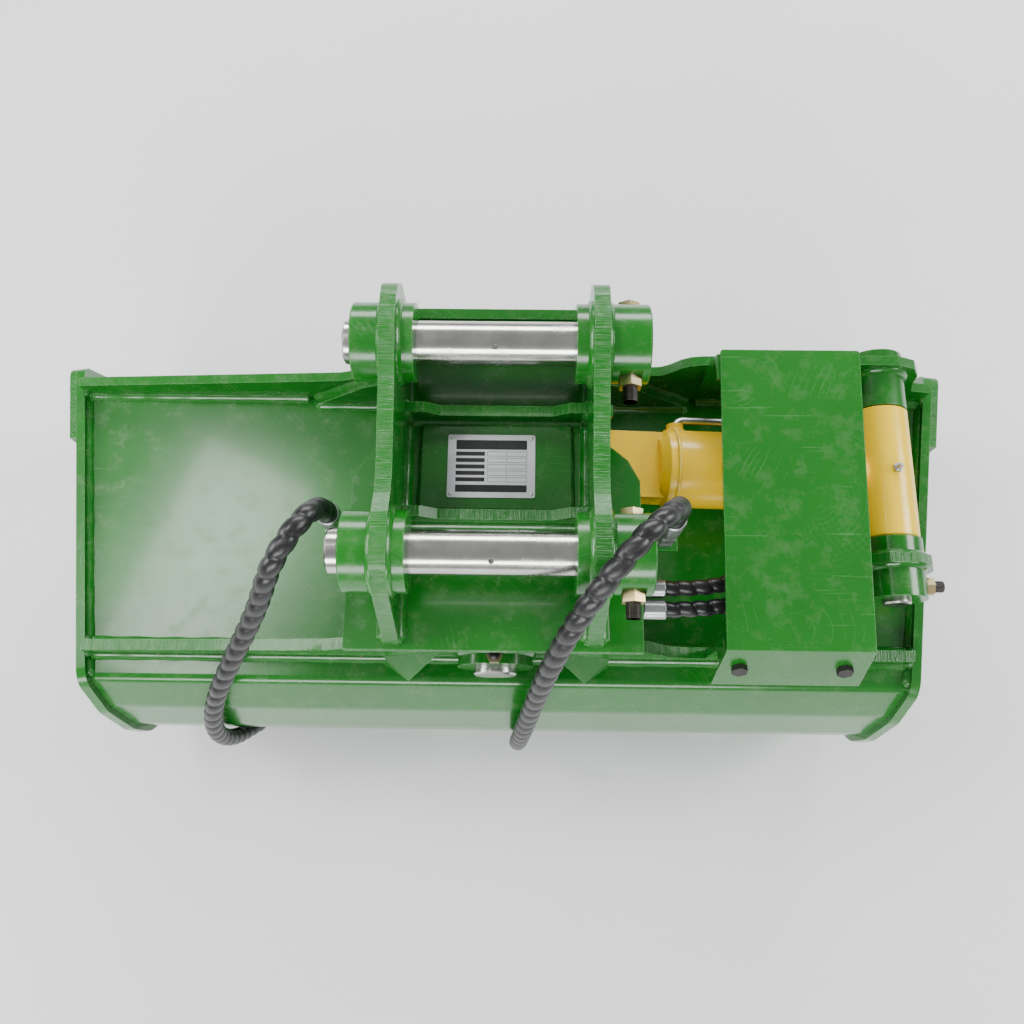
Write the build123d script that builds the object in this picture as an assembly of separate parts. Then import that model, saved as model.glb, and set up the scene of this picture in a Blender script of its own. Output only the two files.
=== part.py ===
"""Tilt bucket: a wide ditching bucket that rolls about a fore-and-aft pin under its hitch head.

Units are millimetres. X runs across the bucket, the mouth faces +Y, the heel faces -Y and Z is up.
The origin lies on the floor, below the middle of the tilt pin across the bucket.
"""
from build123d import *

import math
import os

os.makedirs("parts", exist_ok=True)

# Overall sizes of the bucket body
BODY_HEIGHT = 380.0
WIDTH = 1219.0
WIDTH_AT_Y = 232.0
SIDE_TAPER = 0.14
SHELL_T = 8.0
SIDE_T = 12.0
SIDE_PROUD = 15.0
CUTTER_T = 9.0
BLADE_T = 16.0
BLADE_REAR_Y = 235.0
BLADE_TIP_Y = 345.0
LIP_Y = 234.0
BEND_Y = -184.0

# Cross plates that carry the tilt pin
FRONT_PLATE_Y = 221.0
FRONT_PLATE_T = 13.0
REAR_PLATE_Y = -150.0
REAR_PLATE_T = 15.0
DOUBLER_T = 12.0
LUG_TOP = 128.0

# Tilt pin and its housings
PIVOT_Z = BODY_HEIGHT + 52.0
TILT_PIN_R = 27.5
TILT_RUN = 0.05
BUSH_WALL = 5.0
HOUSING_R = 42.0
PIVOT_BOSS_R = 48.0
PIVOT_BOSS_L = 18.0
WASHER_T = 3.0
WASHER_GAP = 0.2

# Hitch head
HEAD_Z = BODY_HEIGHT + 158.0
HEAD_T = 15.0
HEAD_HALF = 174.0
HEAD_REAR_Y = -163.0
HEAD_FRONT_Y = 237.0
EAR_IN = 108.0
EAR_T = 18.0
EAR_BOSS_R = 45.0
INNER_BOSS_L = 17.5
LEFT_BOSS_L = 35.0
RIGHT_BOSS_L = 47.0
HITCH_PIN_R = 25.0
HITCH_FIT = 0.2
UPPER_PIN = (172.0, BODY_HEIGHT + 280.0)
LOWER_PIN = (-70.0, BODY_HEIGHT + 268.0)
WEB_T = 15.0

# Tilt cylinder
CYL_Y = 84.0
BASE_PIN = (100.0, BODY_HEIGHT + 112.0)
ROD_PIN = (WIDTH / 2 - 104.5, BODY_HEIGHT + 80.0)
BORE_R = 40.0
BARREL_R = 50.0
ROD_R = 22.5
BASE_PIN_R = 17.5
BASE_EYE_R = 33.0
BASE_EYE_L = 96.0
ROD_PIN_R = 18.0
ROD_PIN_PLAY = 9.6
ROD_EYE_R = 36.0
ROD_EYE_L = 174.0
EYE_BUSH_WALL = 3.4
LUG_Y = (-40.0, -27.0)

# Fasteners: thread radius, width across flats and nut height
M16 = (8.0, 24.0, 13.0)
M14 = (7.0, 21.0, 12.0)
M12 = (6.0, 18.0, 10.0)
M10 = (5.0, 17.0, 8.0)

# Cover over the cylinder: its sheet, folded lip, edges in X at the front and rear, and bolts
COVER_Z = BODY_HEIGHT + 183.0
COVER_T = 5.0
COVER_FRONT_Y = 212.0
COVER_REAR_Y = -157.5
COVER_X = ((275.0, ROD_PIN[0] - 58), (266.0, ROD_PIN[0] - 70))
LIP_DROP = 68.0
LIP_LEAN = 23.5
BRACKET_X = (286.0, ROD_PIN[0] - 97)
BOLT_ALONG = 34.0
BOLT_REACH = 24.0

# Hoses
HOSE_R = 12.5
SHORT_HOSE_R = 10.0


def plate_xz(points, y_low, y_high):
    """Plate with its outline in X and Z, lying between two Y values."""
    frame = Plane(origin=(0, y_high, 0), x_dir=(1, 0, 0), z_dir=(0, -1, 0))
    face = make_face(Polyline(*points, close=True))
    return extrude(frame * face, amount=y_high - y_low)


def plate_yz(face, x_low, x_high):
    """Plate with its outline in Y and Z, lying between two X values."""
    frame = Plane(origin=(x_low, 0, 0), x_dir=(0, 1, 0), z_dir=(1, 0, 0))
    return extrude(frame * face, amount=x_high - x_low)


def plate_xy(points, z_low, z_high):
    """Plate with its outline in X and Y, lying between two Z values."""
    face = make_face(Polyline(*points, close=True))
    return extrude(Plane.XY.offset(z_low) * face, amount=z_high - z_low)


def bar(start, direction, radius, length):
    """Round bar from a start point along a direction."""
    return Plane(origin=start, z_dir=direction) * Cylinder(
        radius, length, align=(Align.CENTER, Align.CENTER, Align.MIN))


def ring(start, direction, outer, inner, length):
    """Round tube from a start point along a direction."""
    return bar(start, direction, outer, length) - bar(start, direction, inner, length)


def hexagon(start, direction, across_flats, length):
    """Hexagonal bar with its corners chamfered round on the far side."""
    frame = Plane(origin=start, z_dir=direction)
    body = extrude(frame * RegularPolygon(across_flats / 2, 6, major_radius=False), amount=length)
    turned = frame * Cone(across_flats * 0.75, across_flats * 0.5, length + across_flats * 0.25,
                          align=(Align.CENTER, Align.CENTER, Align.MIN))
    return body & turned


def nut(start, direction, size):
    """Hexagon nut with its clearance bore."""
    radius, flats, height = size
    return hexagon(start, direction, flats, height) - bar(start, direction, radius + 0.1, height)


def side_x(y):
    """Outer face of the tapered side plate at a given Y."""
    return WIDTH / 2 + SIDE_TAPER * (y - WIDTH_AT_Y)


def body_profile():
    """Outer outline of the rolled shell, closed across the mouth."""
    h = BODY_HEIGHT
    points = [(LIP_Y, h), (BEND_Y, h), (-214, h - 62), (-232, h - 150), (-232, h - 215),
              (-190, h - 312), (-110, 0), (BLADE_REAR_Y, 0)]
    face = make_face(Polyline(*points, close=True))
    for index, radius in ((1, 14), (2, 40), (3, 60), (4, 90), (5, 90), (6, 90)):
        corner = face.vertices().sort_by_distance((points[index][0], points[index][1], 0))[0]
        face = fillet(corner, radius)
    return face


def inner_space():
    """Tapered block that fills the bucket between its side plates."""
    inner = SIDE_T * math.sqrt(1 + SIDE_TAPER ** 2)
    back, front = -400.0, 500.0
    points = [(-side_x(back) + inner, back), (side_x(back) - inner, back),
              (side_x(front) - inner, front), (-side_x(front) + inner, front)]
    return plate_xy(points, -100, 900)


def solid_rect(x0, x1, y0, y1):
    """Rectangle between corner values."""
    return Pos((x0 + x1) / 2, (y0 + y1) / 2) * Rectangle(x1 - x0, y1 - y0)


# Rolled shell: top plate, heel and floor in one bent sheet
profile = body_profile()
hollow = offset(profile, -SHELL_T) + solid_rect(0, 500, SHELL_T, BODY_HEIGHT - SHELL_T)
room = inner_space()
shell = plate_yz(profile - hollow, -700, 700) & room

# Side plates stand proud of the shell on top and round the heel
front_edge = make_face(Polyline((100, BODY_HEIGHT + SIDE_PROUD), (258, BODY_HEIGHT + SIDE_PROUD),
                                (336, 60), (336, 0), (100, 0), close=True))
front_edge = fillet(front_edge.vertices().sort_by_distance((258, BODY_HEIGHT + SIDE_PROUD, 0))[0], 20)
side_face = offset(profile, SIDE_PROUD, kind=Kind.ARC) & solid_rect(-400, 240, 0, 900)
side_face = side_face + front_edge
cutter_face = front_edge & solid_rect(150, 500, BLADE_T + 30, 900)
slope = math.degrees(math.atan(SIDE_TAPER))


def lean_to_taper(flat, x_inner):
    """Turn a plate drawn in the YZ plane to lie along the left side's taper."""
    placed = Pos(-WIDTH / 2 + x_inner, 0, 0) * flat
    return placed.rotate(Axis((-WIDTH / 2, WIDTH_AT_Y, 0), (0, 0, 1)), slope)


over_blade = Pos(0, BLADE_REAR_Y + 100, 0) * Box(1600, 200, 2 * BLADE_T)
side_left = lean_to_taper(plate_yz(side_face, 0, SIDE_T), 0) - over_blade
cutter_left = lean_to_taper(plate_yz(cutter_face, -CUTTER_T, 0), 0)
side_right = mirror(side_left, Plane.YZ)
cutter_right = mirror(cutter_left, Plane.YZ)

# Cutting edge with its bevelled tip
blade_face = make_face(Polyline((BLADE_REAR_Y, 0), (BLADE_TIP_Y, 0), (BLADE_TIP_Y, 4),
                                (BLADE_TIP_Y - 30, BLADE_T), (BLADE_REAR_Y, BLADE_T), close=True))
blade_plan = plate_xy([(-side_x(BLADE_REAR_Y), BLADE_REAR_Y), (side_x(BLADE_REAR_Y), BLADE_REAR_Y),
                       (side_x(BLADE_TIP_Y), BLADE_TIP_Y), (-side_x(BLADE_TIP_Y), BLADE_TIP_Y)], -1, 50)
blade = plate_yz(blade_face, -700, 700) & blade_plan

# Front cross plate: tapers to the left, steps up to the cylinder lug on the right
h = BODY_HEIGHT
rx, rz = ROD_PIN
PLATE_END = WIDTH / 2 + 30
front_outline = [(-PLATE_END, h), (-PLATE_END, h + 31), (-221, h + 60), (-205, h + 66), (-190, h + 82),
                 (-150, h + 90), (-95, h + 107), (95, h + 107), (150, h + 90), (190, h + 86),
                 (216, h + 88), (228, h + 97), (240, h + 111), (252, h + 119), (268, h + 122),
                 (rx - 25, h + LUG_TOP), (rx + 15, h + LUG_TOP), (rx + 40, h + 116), (rx + 52, h + 94),
                 (rx + 55, h + 70), (rx + 63, h + 44), (PLATE_END, h + 30), (PLATE_END, h)]
front_plate = plate_xz(front_outline, FRONT_PLATE_Y, FRONT_PLATE_Y + FRONT_PLATE_T) & room
front_plate -= bar((0, 200, PIVOT_Z), (0, 1, 0), TILT_PIN_R + HITCH_FIT, 60)
front_plate -= bar((ROD_PIN[0], 200, ROD_PIN[1]), (0, 1, 0), ROD_PIN_R + HITCH_FIT, 60)

# Doubler behind the front cross plate round the pin, with sloping ends
doubler_outline = [(-268, h), (-186, h + 66), (-150, h + 80), (-95, h + 97), (95, h + 97),
                   (150, h + 80), (186, h + 66), (268, h)]
doubler = plate_xz(doubler_outline, FRONT_PLATE_Y - DOUBLER_T, FRONT_PLATE_Y)
doubler -= bar((0, 200, PIVOT_Z), (0, 1, 0), TILT_PIN_R + HITCH_FIT, 60)

# Rear cross plate
rear_outline = [(-PLATE_END, h), (-PLATE_END, h + 20), (-221, h + 60), (-190, h + 76), (-150, h + 88),
                (-95, h + 102), (95, h + 102), (150, h + 88), (190, h + 78), (206, h + 58),
                (226, h + 36), (250, h + 28), (PLATE_END, h + 22), (PLATE_END, h)]
rear_plate = plate_xz(rear_outline, REAR_PLATE_Y, REAR_PLATE_Y + REAR_PLATE_T) & room
rear_plate -= bar((0, -200, PIVOT_Z), (0, 1, 0), TILT_PIN_R + HITCH_FIT, 100)

# Leaning gussets behind the rear cross plate, either side of the pin
gusset_points = [(70, REAR_PLATE_Y, h + 62), (116, BEND_Y + 3, h), (162, REAR_PLATE_Y, h)]
gusset_face = make_face(Polyline(*gusset_points, close=True))
gusset_normal = (Vector(*gusset_points[1]) - Vector(*gusset_points[0])).cross(
    Vector(*gusset_points[2]) - Vector(*gusset_points[0])).normalized()
gusset_dir = gusset_normal if gusset_normal.Z < 0 else gusset_normal * -1
gusset = extrude(gusset_face, amount=10, dir=gusset_dir)
gusset &= Pos(0, REAR_PLATE_Y - 100, h + 100) * Box(600, 200, 200)
gusset_pair = [gusset, mirror(gusset, Plane.YZ)]

# Bosses on the outer faces of both cross plates
front_boss = ring((0, FRONT_PLATE_Y + FRONT_PLATE_T, PIVOT_Z), (0, 1, 0), PIVOT_BOSS_R,
                  TILT_PIN_R + HITCH_FIT, PIVOT_BOSS_L - 4)
rear_boss = ring((0, REAR_PLATE_Y, PIVOT_Z), (0, -1, 0), PIVOT_BOSS_R,
                 TILT_PIN_R + HITCH_FIT, PIVOT_BOSS_L)

# Tilt pin, held by one bolt down through the rear boss
PIN_REAR = REAR_PLATE_Y - PIVOT_BOSS_L - 10
PIN_FRONT = FRONT_PLATE_Y + FRONT_PLATE_T + PIVOT_BOSS_L + 2
bolt_y = REAR_PLATE_Y - PIVOT_BOSS_L / 2
tilt_pin = bar((0, PIN_REAR, PIVOT_Z), (0, 1, 0), TILT_PIN_R, PIN_FRONT - PIN_REAR)
tilt_pin = chamfer(tilt_pin.edges().filter_by(GeomType.CIRCLE), 2)
bolt_hole = bar((0, bolt_y, PIVOT_Z - 80), (0, 0, 1), M12[0] + HITCH_FIT, 160)
tilt_pin -= bolt_hole
rear_boss -= bolt_hole
seat_z = PIVOT_Z + PIVOT_BOSS_R
seat_cut = Pos(0, bolt_y, seat_z + 18) * Box(24, PIVOT_BOSS_L + 1, 40)
rear_boss -= seat_cut
bolt_top = seat_z - 2
bolt_low = PIVOT_Z - PIVOT_BOSS_R + 3
tilt_bolt = bar((0, bolt_y, bolt_low), (0, 0, 1), M12[0], bolt_top + 16 - bolt_low)
tilt_nut = nut((0, bolt_y, bolt_top), (0, 0, 1), M12)

# Head base plate, wide at the rear and narrow between the ears at the front
front_cut = EAR_IN + EAR_T
base_points = [(-HEAD_HALF, HEAD_REAR_Y), (HEAD_HALF, HEAD_REAR_Y), (HEAD_HALF, 44), (160, 70),
               (front_cut + 8, 92), (front_cut, 112), (front_cut, HEAD_FRONT_Y),
               (-front_cut, HEAD_FRONT_Y), (-front_cut, 112), (-front_cut - 8, 92),
               (-160, 70), (-HEAD_HALF, 44)]
head_base = plate_xy(base_points, HEAD_Z, HEAD_Z + HEAD_T)
HEAD_TOP = HEAD_Z + HEAD_T

# Hitch ears round the two pins
uy, uz = UPPER_PIN
ly, lz = LOWER_PIN
ear_outline = [(-158, HEAD_TOP), (HEAD_FRONT_Y, HEAD_TOP), (HEAD_FRONT_Y, uz + 18), (uy + 46, uz + 54),
               (uy - 6, uz + 64), (uy - 62, uz + 40), (ly + 70, lz + 30), (ly + 28, lz + 50),
               (ly - 24, lz + 50), (ly - 52, lz + 10)]
ear_face = make_face(Polyline(*ear_outline, close=True))
for index, radius in ((2, 22), (3, 30), (4, 40), (5, 70), (6, 70), (7, 30), (8, 30), (9, 40)):
    corner = ear_face.vertices().sort_by_distance((ear_outline[index][0], ear_outline[index][1], 0))[0]
    ear_face = fillet(corner, radius)
ear_right = plate_yz(ear_face, EAR_IN, EAR_IN + EAR_T)
for py, pz in (UPPER_PIN, LOWER_PIN):
    ear_right -= bar((0, py, pz), (1, 0, 0), HITCH_PIN_R + HITCH_FIT, 300)
ear_left = mirror(ear_right, Plane.YZ)


def ear_bosses(side):
    """Four boss rings of one ear, with the bolt bores of the right outer ones."""
    outer_l = RIGHT_BOSS_L if side > 0 else LEFT_BOSS_L
    rings = []
    for py, pz in (UPPER_PIN, LOWER_PIN):
        inner = ring((side * EAR_IN, py, pz), (-side, 0, 0), EAR_BOSS_R, HITCH_PIN_R + HITCH_FIT,
                     INNER_BOSS_L)
        outer = ring((side * (EAR_IN + EAR_T), py, pz), (side, 0, 0), EAR_BOSS_R,
                     HITCH_PIN_R + HITCH_FIT, outer_l)
        outer = chamfer(outer.edges().filter_by(GeomType.CIRCLE).group_by(Axis.X)[-1 if side > 0 else 0],
                        1.5)
        if side > 0:
            outer -= bar((BOLT_X, py - 100, pz), (0, 1, 0), M16[0] + 0.2, 200)
            outer -= Pos(BOLT_X, py - EAR_BOSS_R - 3, pz) * Box(26, 16, 40)
            outer -= Pos(BOLT_X, py + EAR_BOSS_R + 3, pz) * Box(26, 16, 40)
        rings += [inner, outer]
    return rings


BOLT_X = EAR_IN + EAR_T + RIGHT_BOSS_L / 2 + 2
bosses_right = ear_bosses(1)
bosses_left = ear_bosses(-1)
BOLT_SEAT = EAR_BOSS_R - 5


def hitch_pin(py, pz, left_end):
    """Hitch pin with chamfered ends, a bolt bore and a grease hole."""
    right_end = EAR_IN + EAR_T + RIGHT_BOSS_L - 2
    pin = bar((left_end, py, pz), (1, 0, 0), HITCH_PIN_R, right_end - left_end)
    pin = chamfer(pin.edges().filter_by(GeomType.CIRCLE), 2)
    pin -= bar((BOLT_X, py - 50, pz), (0, 1, 0), M16[0] + 0.2, 100)
    return pin - bar((0, py - 8, pz + 10), (0, -0.5, 0.87), 3, 40)


upper_pin = hitch_pin(uy, uz, -EAR_IN - EAR_T - LEFT_BOSS_L - 11)
lower_pin = hitch_pin(ly, lz, -EAR_IN - EAR_T - LEFT_BOSS_L - 17)
hitch_bolts = []
hitch_nuts = []
for py, pz in (UPPER_PIN, LOWER_PIN):
    front, back = py + BOLT_SEAT, py - BOLT_SEAT
    head = hexagon((BOLT_X, front, pz), (0, 1, 0), M16[1], 10)
    hitch_bolts.append(head + bar((BOLT_X, front, pz), (0, -1, 0), M16[0], front - back + 30))
    hitch_nuts.append(nut((BOLT_X, back, pz), (0, -1, 0), M16))

# Front plate between the ears, stiffeners across the head and the raised data panel
head_front = plate_xz([(-EAR_IN, HEAD_TOP), (EAR_IN, HEAD_TOP), (EAR_IN, h + 240), (-EAR_IN, h + 240)],
                      HEAD_FRONT_Y - 13, HEAD_FRONT_Y)
STIFF_T = 13.0
STIFF_Y = (117.0, -13.0)
stiffeners = []
for y0 in STIFF_Y:
    low, high = HEAD_TOP, HEAD_TOP + 24
    stiffeners.append(plate_xz([(-EAR_IN, low), (EAR_IN, low), (EAR_IN, high + 12), (88, high + 12),
                                (68, high), (-68, high), (-88, high + 12), (-EAR_IN, high + 12)],
                               y0, y0 + STIFF_T))
PANEL_T = 6.0
panel_low, panel_high = STIFF_Y[1] + STIFF_T + 6, STIFF_Y[0] - 6
data_panel = plate_xy([(-90, panel_low), (90, panel_low), (90, panel_high), (-90, panel_high)],
                      HEAD_TOP, HEAD_TOP + PANEL_T)
PLATE_C = (-6.0, 59.0)
PLATE_W = 106.0
PLATE_D = 80.0
plate_top = HEAD_TOP + PANEL_T
data_plate = Pos(PLATE_C[0], PLATE_C[1], plate_top) * Box(
    PLATE_W, PLATE_D, 1.0, align=(Align.CENTER, Align.CENTER, Align.MIN))
data_plate = fillet(data_plate.edges().filter_by(Axis.Z), 3)
rivet_spots = [(PLATE_C[0] + sx * (PLATE_W / 2 - 4.5), PLATE_C[1] + sy * (PLATE_D / 2 - 4.5))
               for sx in (-1, 1) for sy in (-1, 1)]
plate_rivets = []
for spot_x, spot_y in rivet_spots:
    data_plate -= bar((spot_x, spot_y, plate_top - 2), (0, 0, 1), 1.6, 5)
    data_panel -= bar((spot_x, spot_y, plate_top - 4), (0, 0, 1), 1.6, 5)
    stem = bar((spot_x, spot_y, plate_top - 4), (0, 0, 1), 1.55, 5)
    dome = Pos(spot_x, spot_y, plate_top - 1.4) * Sphere(3.4)
    dome &= Pos(spot_x, spot_y, plate_top + 1) * Box(
        10, 10, 6, align=(Align.CENTER, Align.CENTER, Align.MIN))
    plate_rivets.append(stem + dome)

# Webs under the base plate that hold the housings and the cylinder's base pin
bx, bz = BASE_PIN
LUG_GAP = 2.0
lug_rear = CYL_Y - BASE_EYE_L / 2 - LUG_GAP
lug_front = CYL_Y + BASE_EYE_L / 2 + LUG_GAP
HOUSING_REAR = REAR_PLATE_Y + REAR_PLATE_T + WASHER_T + 2 * WASHER_GAP
HOUSING_FRONT = FRONT_PLATE_Y - DOUBLER_T - WASHER_T - 2 * WASHER_GAP


def web(y_low, lug):
    """Web plate under the head; the lug webs reach round the base pin."""
    points = [(-112, HEAD_Z), (-112, HEAD_Z - 22), (-56, PIVOT_Z - 8), (56, PIVOT_Z - 8)]
    points += [(bx + 22, bz - 30), (bx + 36, bz - 8), (bx + 44, HEAD_Z)] if lug else [
        (112, HEAD_Z - 22), (112, HEAD_Z)]
    plate = plate_xz(points, y_low, y_low + WEB_T)
    if lug:
        plate -= bar((bx, y_low - 1, bz), (0, 1, 0), BASE_PIN_R + HITCH_FIT, WEB_T + 2)
    return plate - bar((0, y_low - 1, PIVOT_Z), (0, 1, 0), HOUSING_R, WEB_T + 2)


webs = [web(HOUSING_REAR + 6, False), web(lug_rear - WEB_T, True),
        web(lug_front, True), web(HOUSING_FRONT - WEB_T - 4, False)]
housings = [ring((0, HOUSING_REAR, PIVOT_Z), (0, 1, 0), HOUSING_R, TILT_PIN_R + BUSH_WALL,
                 lug_rear - HOUSING_REAR),
            ring((0, lug_front, PIVOT_Z), (0, 1, 0), HOUSING_R, TILT_PIN_R + BUSH_WALL,
                 HOUSING_FRONT - lug_front)]
BUSH_L = 60.0
bushes = [ring((0, y0, PIVOT_Z), (0, 1, 0), TILT_PIN_R + BUSH_WALL, TILT_PIN_R + TILT_RUN, BUSH_L)
          for y0 in (HOUSING_REAR, HOUSING_FRONT - BUSH_L)]
washers = [ring((0, y0, PIVOT_Z), (0, 1, 0), HOUSING_R - 2, TILT_PIN_R + HITCH_FIT, WASHER_T)
           for y0 in (REAR_PLATE_Y + REAR_PLATE_T, FRONT_PLATE_Y - DOUBLER_T - WASHER_T)]

# Base pin of the cylinder with its two retaining rings
pin_low, pin_high = lug_rear - WEB_T - 10, lug_front + WEB_T + 10
base_pin = bar((bx, pin_low, bz), (0, 1, 0), BASE_PIN_R, pin_high - pin_low)
base_pin = chamfer(base_pin.edges().filter_by(GeomType.CIRCLE), 1.5)
pin_rings = []
for y0 in (lug_rear - WEB_T - 3.0, lug_front + WEB_T + 0.5):
    groove = ring((bx, y0, bz), (0, 1, 0), BASE_PIN_R + 1, BASE_PIN_R - 1.5, 2.5)
    base_pin -= groove
    snap = ring((bx, y0, bz), (0, 1, 0), BASE_PIN_R + 3.5, BASE_PIN_R - 1.5, 2.5)
    snap -= Pos(bx, y0 + 1.25, bz - BASE_PIN_R) * Box(12, 6, 12)
    pin_rings.append(snap)

# Cylinder, drawn along its own axis from the base pin and then laid on its real line
run_x, run_z = ROD_PIN[0] - bx, ROD_PIN[1] - bz
CYL_L = math.hypot(run_x, run_z)
cyl_place = Pos(bx, CYL_Y, bz) * Rot(0, math.degrees(math.atan2(-run_z, run_x)), 0)
BARREL_START = 104.0
GLAND_START = 262.0
GLAND_END = 300.0
PISTON = (178.0, 212.0)
SPIGOT_L = 24.0
NECK_H = 32.0
X = (1, 0, 0)
Y = (0, 1, 0)
base_bush_r = BASE_PIN_R + TILT_RUN + EYE_BUSH_WALL
eye_tube = ring((0, -BASE_EYE_L / 2, 0), Y, BASE_EYE_R, base_bush_r, BASE_EYE_L)
base_bush = ring((0, -BASE_EYE_L / 2, 0), Y, base_bush_r, BASE_PIN_R + TILT_RUN, BASE_EYE_L)
neck = Pos(60, 0, 0) * Box(100, BASE_EYE_L - 8, NECK_H)
cap = bar((BARREL_START, 0, 0), X, BARREL_R, 20)
cap = chamfer(cap.edges().filter_by(GeomType.CIRCLE).group_by(Axis.X)[0], 9, 12)
tube = ring((BARREL_START + 20, 0, 0), X, BARREL_R, BORE_R, GLAND_START - BARREL_START - 20)
port_boss = bar((130, BARREL_R - 4, 0), Y, 11, 14) - bar((130, BARREL_R + 2, 0), Y, 5.1, 20)
port_boss -= bar((0, 0, 0), X, BORE_R + 0.5, 300)
MANIFOLD = (206.0, 254.0)
PORT_X = (218.0, 242.0)
PORT_Y = -BARREL_R - 8.0
block = Pos(sum(MANIFOLD) / 2, PORT_Y + 12, 18) * Box(MANIFOLD[1] - MANIFOLD[0], 24, 44)
block -= bar((0, 0, 0), X, BARREL_R - 1, 400)
barrel = eye_tube + (neck - bar((0, -100, 0), Y, BASE_EYE_R - 1, 200)) + cap + tube + port_boss + block
for px in PORT_X:
    barrel -= bar((px, PORT_Y - 1, 20), Y, 6.0, 15)
gland = ring((GLAND_START, 0, 0), X, BARREL_R + 3, ROD_R + 0.06, GLAND_END - GLAND_START)
gland += ring((GLAND_START - SPIGOT_L, 0, 0), X, BORE_R - 0.05, ROD_R + 0.06, SPIGOT_L)
gland = chamfer(gland.edges().filter_by(GeomType.CIRCLE).group_by(Axis.X)[-1].sort_by(SortBy.RADIUS)[-1], 2)
wiper = ring((GLAND_END, 0, 0), X, ROD_R + 6, ROD_R + 0.06, 4)
piston = ring((PISTON[0], 0, 0), X, BORE_R - 0.06, ROD_R - 4, PISTON[1] - PISTON[0])
for gx in (PISTON[0] + 8, PISTON[0] + 22):
    piston -= ring((gx, 0, 0), X, BORE_R, BORE_R - 4, 5)
piston_seals = [ring((gx, 0, 0), X, BORE_R - 0.05, BORE_R - 4, 5) for gx in (PISTON[0] + 8, PISTON[0] + 22)]
rod = bar((PISTON[0], 0, 0), X, ROD_R - 4, PISTON[1] - PISTON[0])
rod += bar((PISTON[1], 0, 0), X, ROD_R, CYL_L - PISTON[1])
rod -= bar((CYL_L, -100, 0), Y, ROD_EYE_R, 200)
rod_bush_r = ROD_PIN_R + ROD_PIN_PLAY + EYE_BUSH_WALL
rod_eye = ring((CYL_L, -ROD_EYE_L / 2, 0), Y, ROD_EYE_R, rod_bush_r, ROD_EYE_L)
rod_eye = chamfer(rod_eye.edges().filter_by(GeomType.CIRCLE).filter_by(
    lambda e: e.radius > ROD_EYE_R - 1), 1.5)
nipple_low = (rod_bush_r + ROD_EYE_R) / 2
rod_eye -= bar((CYL_L, 0, nipple_low), (0, 0, 1), 4.0, 30)
rod_bushes = [ring((CYL_L, y0, 0), Y, rod_bush_r, ROD_PIN_R + ROD_PIN_PLAY, 50)
              for y0 in (-ROD_EYE_L / 2, ROD_EYE_L / 2 - 50)]
nipple = bar((CYL_L, 0, nipple_low), (0, 0, 1), 4.0, ROD_EYE_R + 1 - nipple_low)
nipple += hexagon((CYL_L, 0, ROD_EYE_R + 1), (0, 0, 1), 11, 4)
nipple += Pos(CYL_L, 0, ROD_EYE_R + 5) * Cone(3.4, 2.2, 6, align=(Align.CENTER, Align.CENTER, Align.MIN))
nipple += Pos(CYL_L, 0, ROD_EYE_R + 12) * Sphere(3.0)

# Steel pipe from the base port along the barrel to the manifold
PIPE_R = 5.0
pipe_y = BARREL_R + 17.0
pipe_points = [(130, BARREL_R + 2, 0), (130, pipe_y, 0), (230, pipe_y, 0), (230, pipe_y, 64),
               (230, PORT_Y + 6, 64), (230, PORT_Y + 6, 40)]
pipe_path = FilletPolyline(*pipe_points, radius=12)
pipe = sweep(Plane(origin=pipe_points[0], z_dir=Y) * Circle(PIPE_R), path=pipe_path)


barrel = cyl_place * barrel
gland = cyl_place * gland
wiper = cyl_place * wiper
piston = cyl_place * piston
piston_seals = [cyl_place * seal for seal in piston_seals]
rod = cyl_place * rod
rod_eye = cyl_place * rod_eye
rod_bushes = [cyl_place * bush for bush in rod_bushes]
base_bush = cyl_place * base_bush
nipple = cyl_place * nipple
pipe = cyl_place * pipe

# Cylinder lug at the rear end of the rod eye, with its bosses and the rod pin
lug_outline = [(rx - 75, h), (rx - 59, h + 60), (rx - 43, h + 104), (rx - 19, h + 122), (rx + 19, h + 122),
               (rx + 39, h + 106), (rx + 51, h + 80), (rx + 67, h + 40), (rx + 95, h + 14), (rx + 95, h)]
rear_lug = plate_xz(lug_outline, LUG_Y[0], LUG_Y[1]) & room
rear_lug -= bar((rx, LUG_Y[0] - 1, rz), Y, ROD_PIN_R + HITCH_FIT, 20)
eye_rear, eye_front = CYL_Y - ROD_EYE_L / 2, CYL_Y + ROD_EYE_L / 2
LUG_BOSS_R = 36.0
boss_spans = [(LUG_Y[1], eye_rear - 1.0), (LUG_Y[0] - 40, LUG_Y[0]),
              (eye_front + 1.0, FRONT_PLATE_Y),
              (FRONT_PLATE_Y + FRONT_PLATE_T, FRONT_PLATE_Y + FRONT_PLATE_T + 16)]
lug_bosses = [ring((rx, low, rz), Y, LUG_BOSS_R + (2 if high < 0 else 0), ROD_PIN_R + HITCH_FIT, high - low)
              for low, high in boss_spans]
keeper_y = LUG_Y[0] - 22.0
keeper = bar((rx - 60, keeper_y, rz), X, M14[0] + HITCH_FIT, 160)
lug_bosses[1] -= keeper
lug_bosses[1] -= Pos(rx + LUG_BOSS_R + 4, keeper_y, rz) * Box(10, 28, 30)
lug_bosses[1] -= Pos(rx - LUG_BOSS_R - 4, keeper_y, rz) * Box(10, 28, 30)
rod_pin = bar((rx, LUG_Y[0] - 46, rz), Y, ROD_PIN_R, FRONT_PLATE_Y + FRONT_PLATE_T + 22 - LUG_Y[0] + 46)
rod_pin = chamfer(rod_pin.edges().filter_by(GeomType.CIRCLE), 2) - keeper
face_right, face_left = rx + LUG_BOSS_R - 1, rx - LUG_BOSS_R + 1
rod_pin_bolt = bar((face_left, keeper_y, rz), X, M14[0], face_right - face_left + 25)
rod_pin_bolt += hexagon((face_left, keeper_y, rz), (-1, 0, 0), M14[1], 8)
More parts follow.
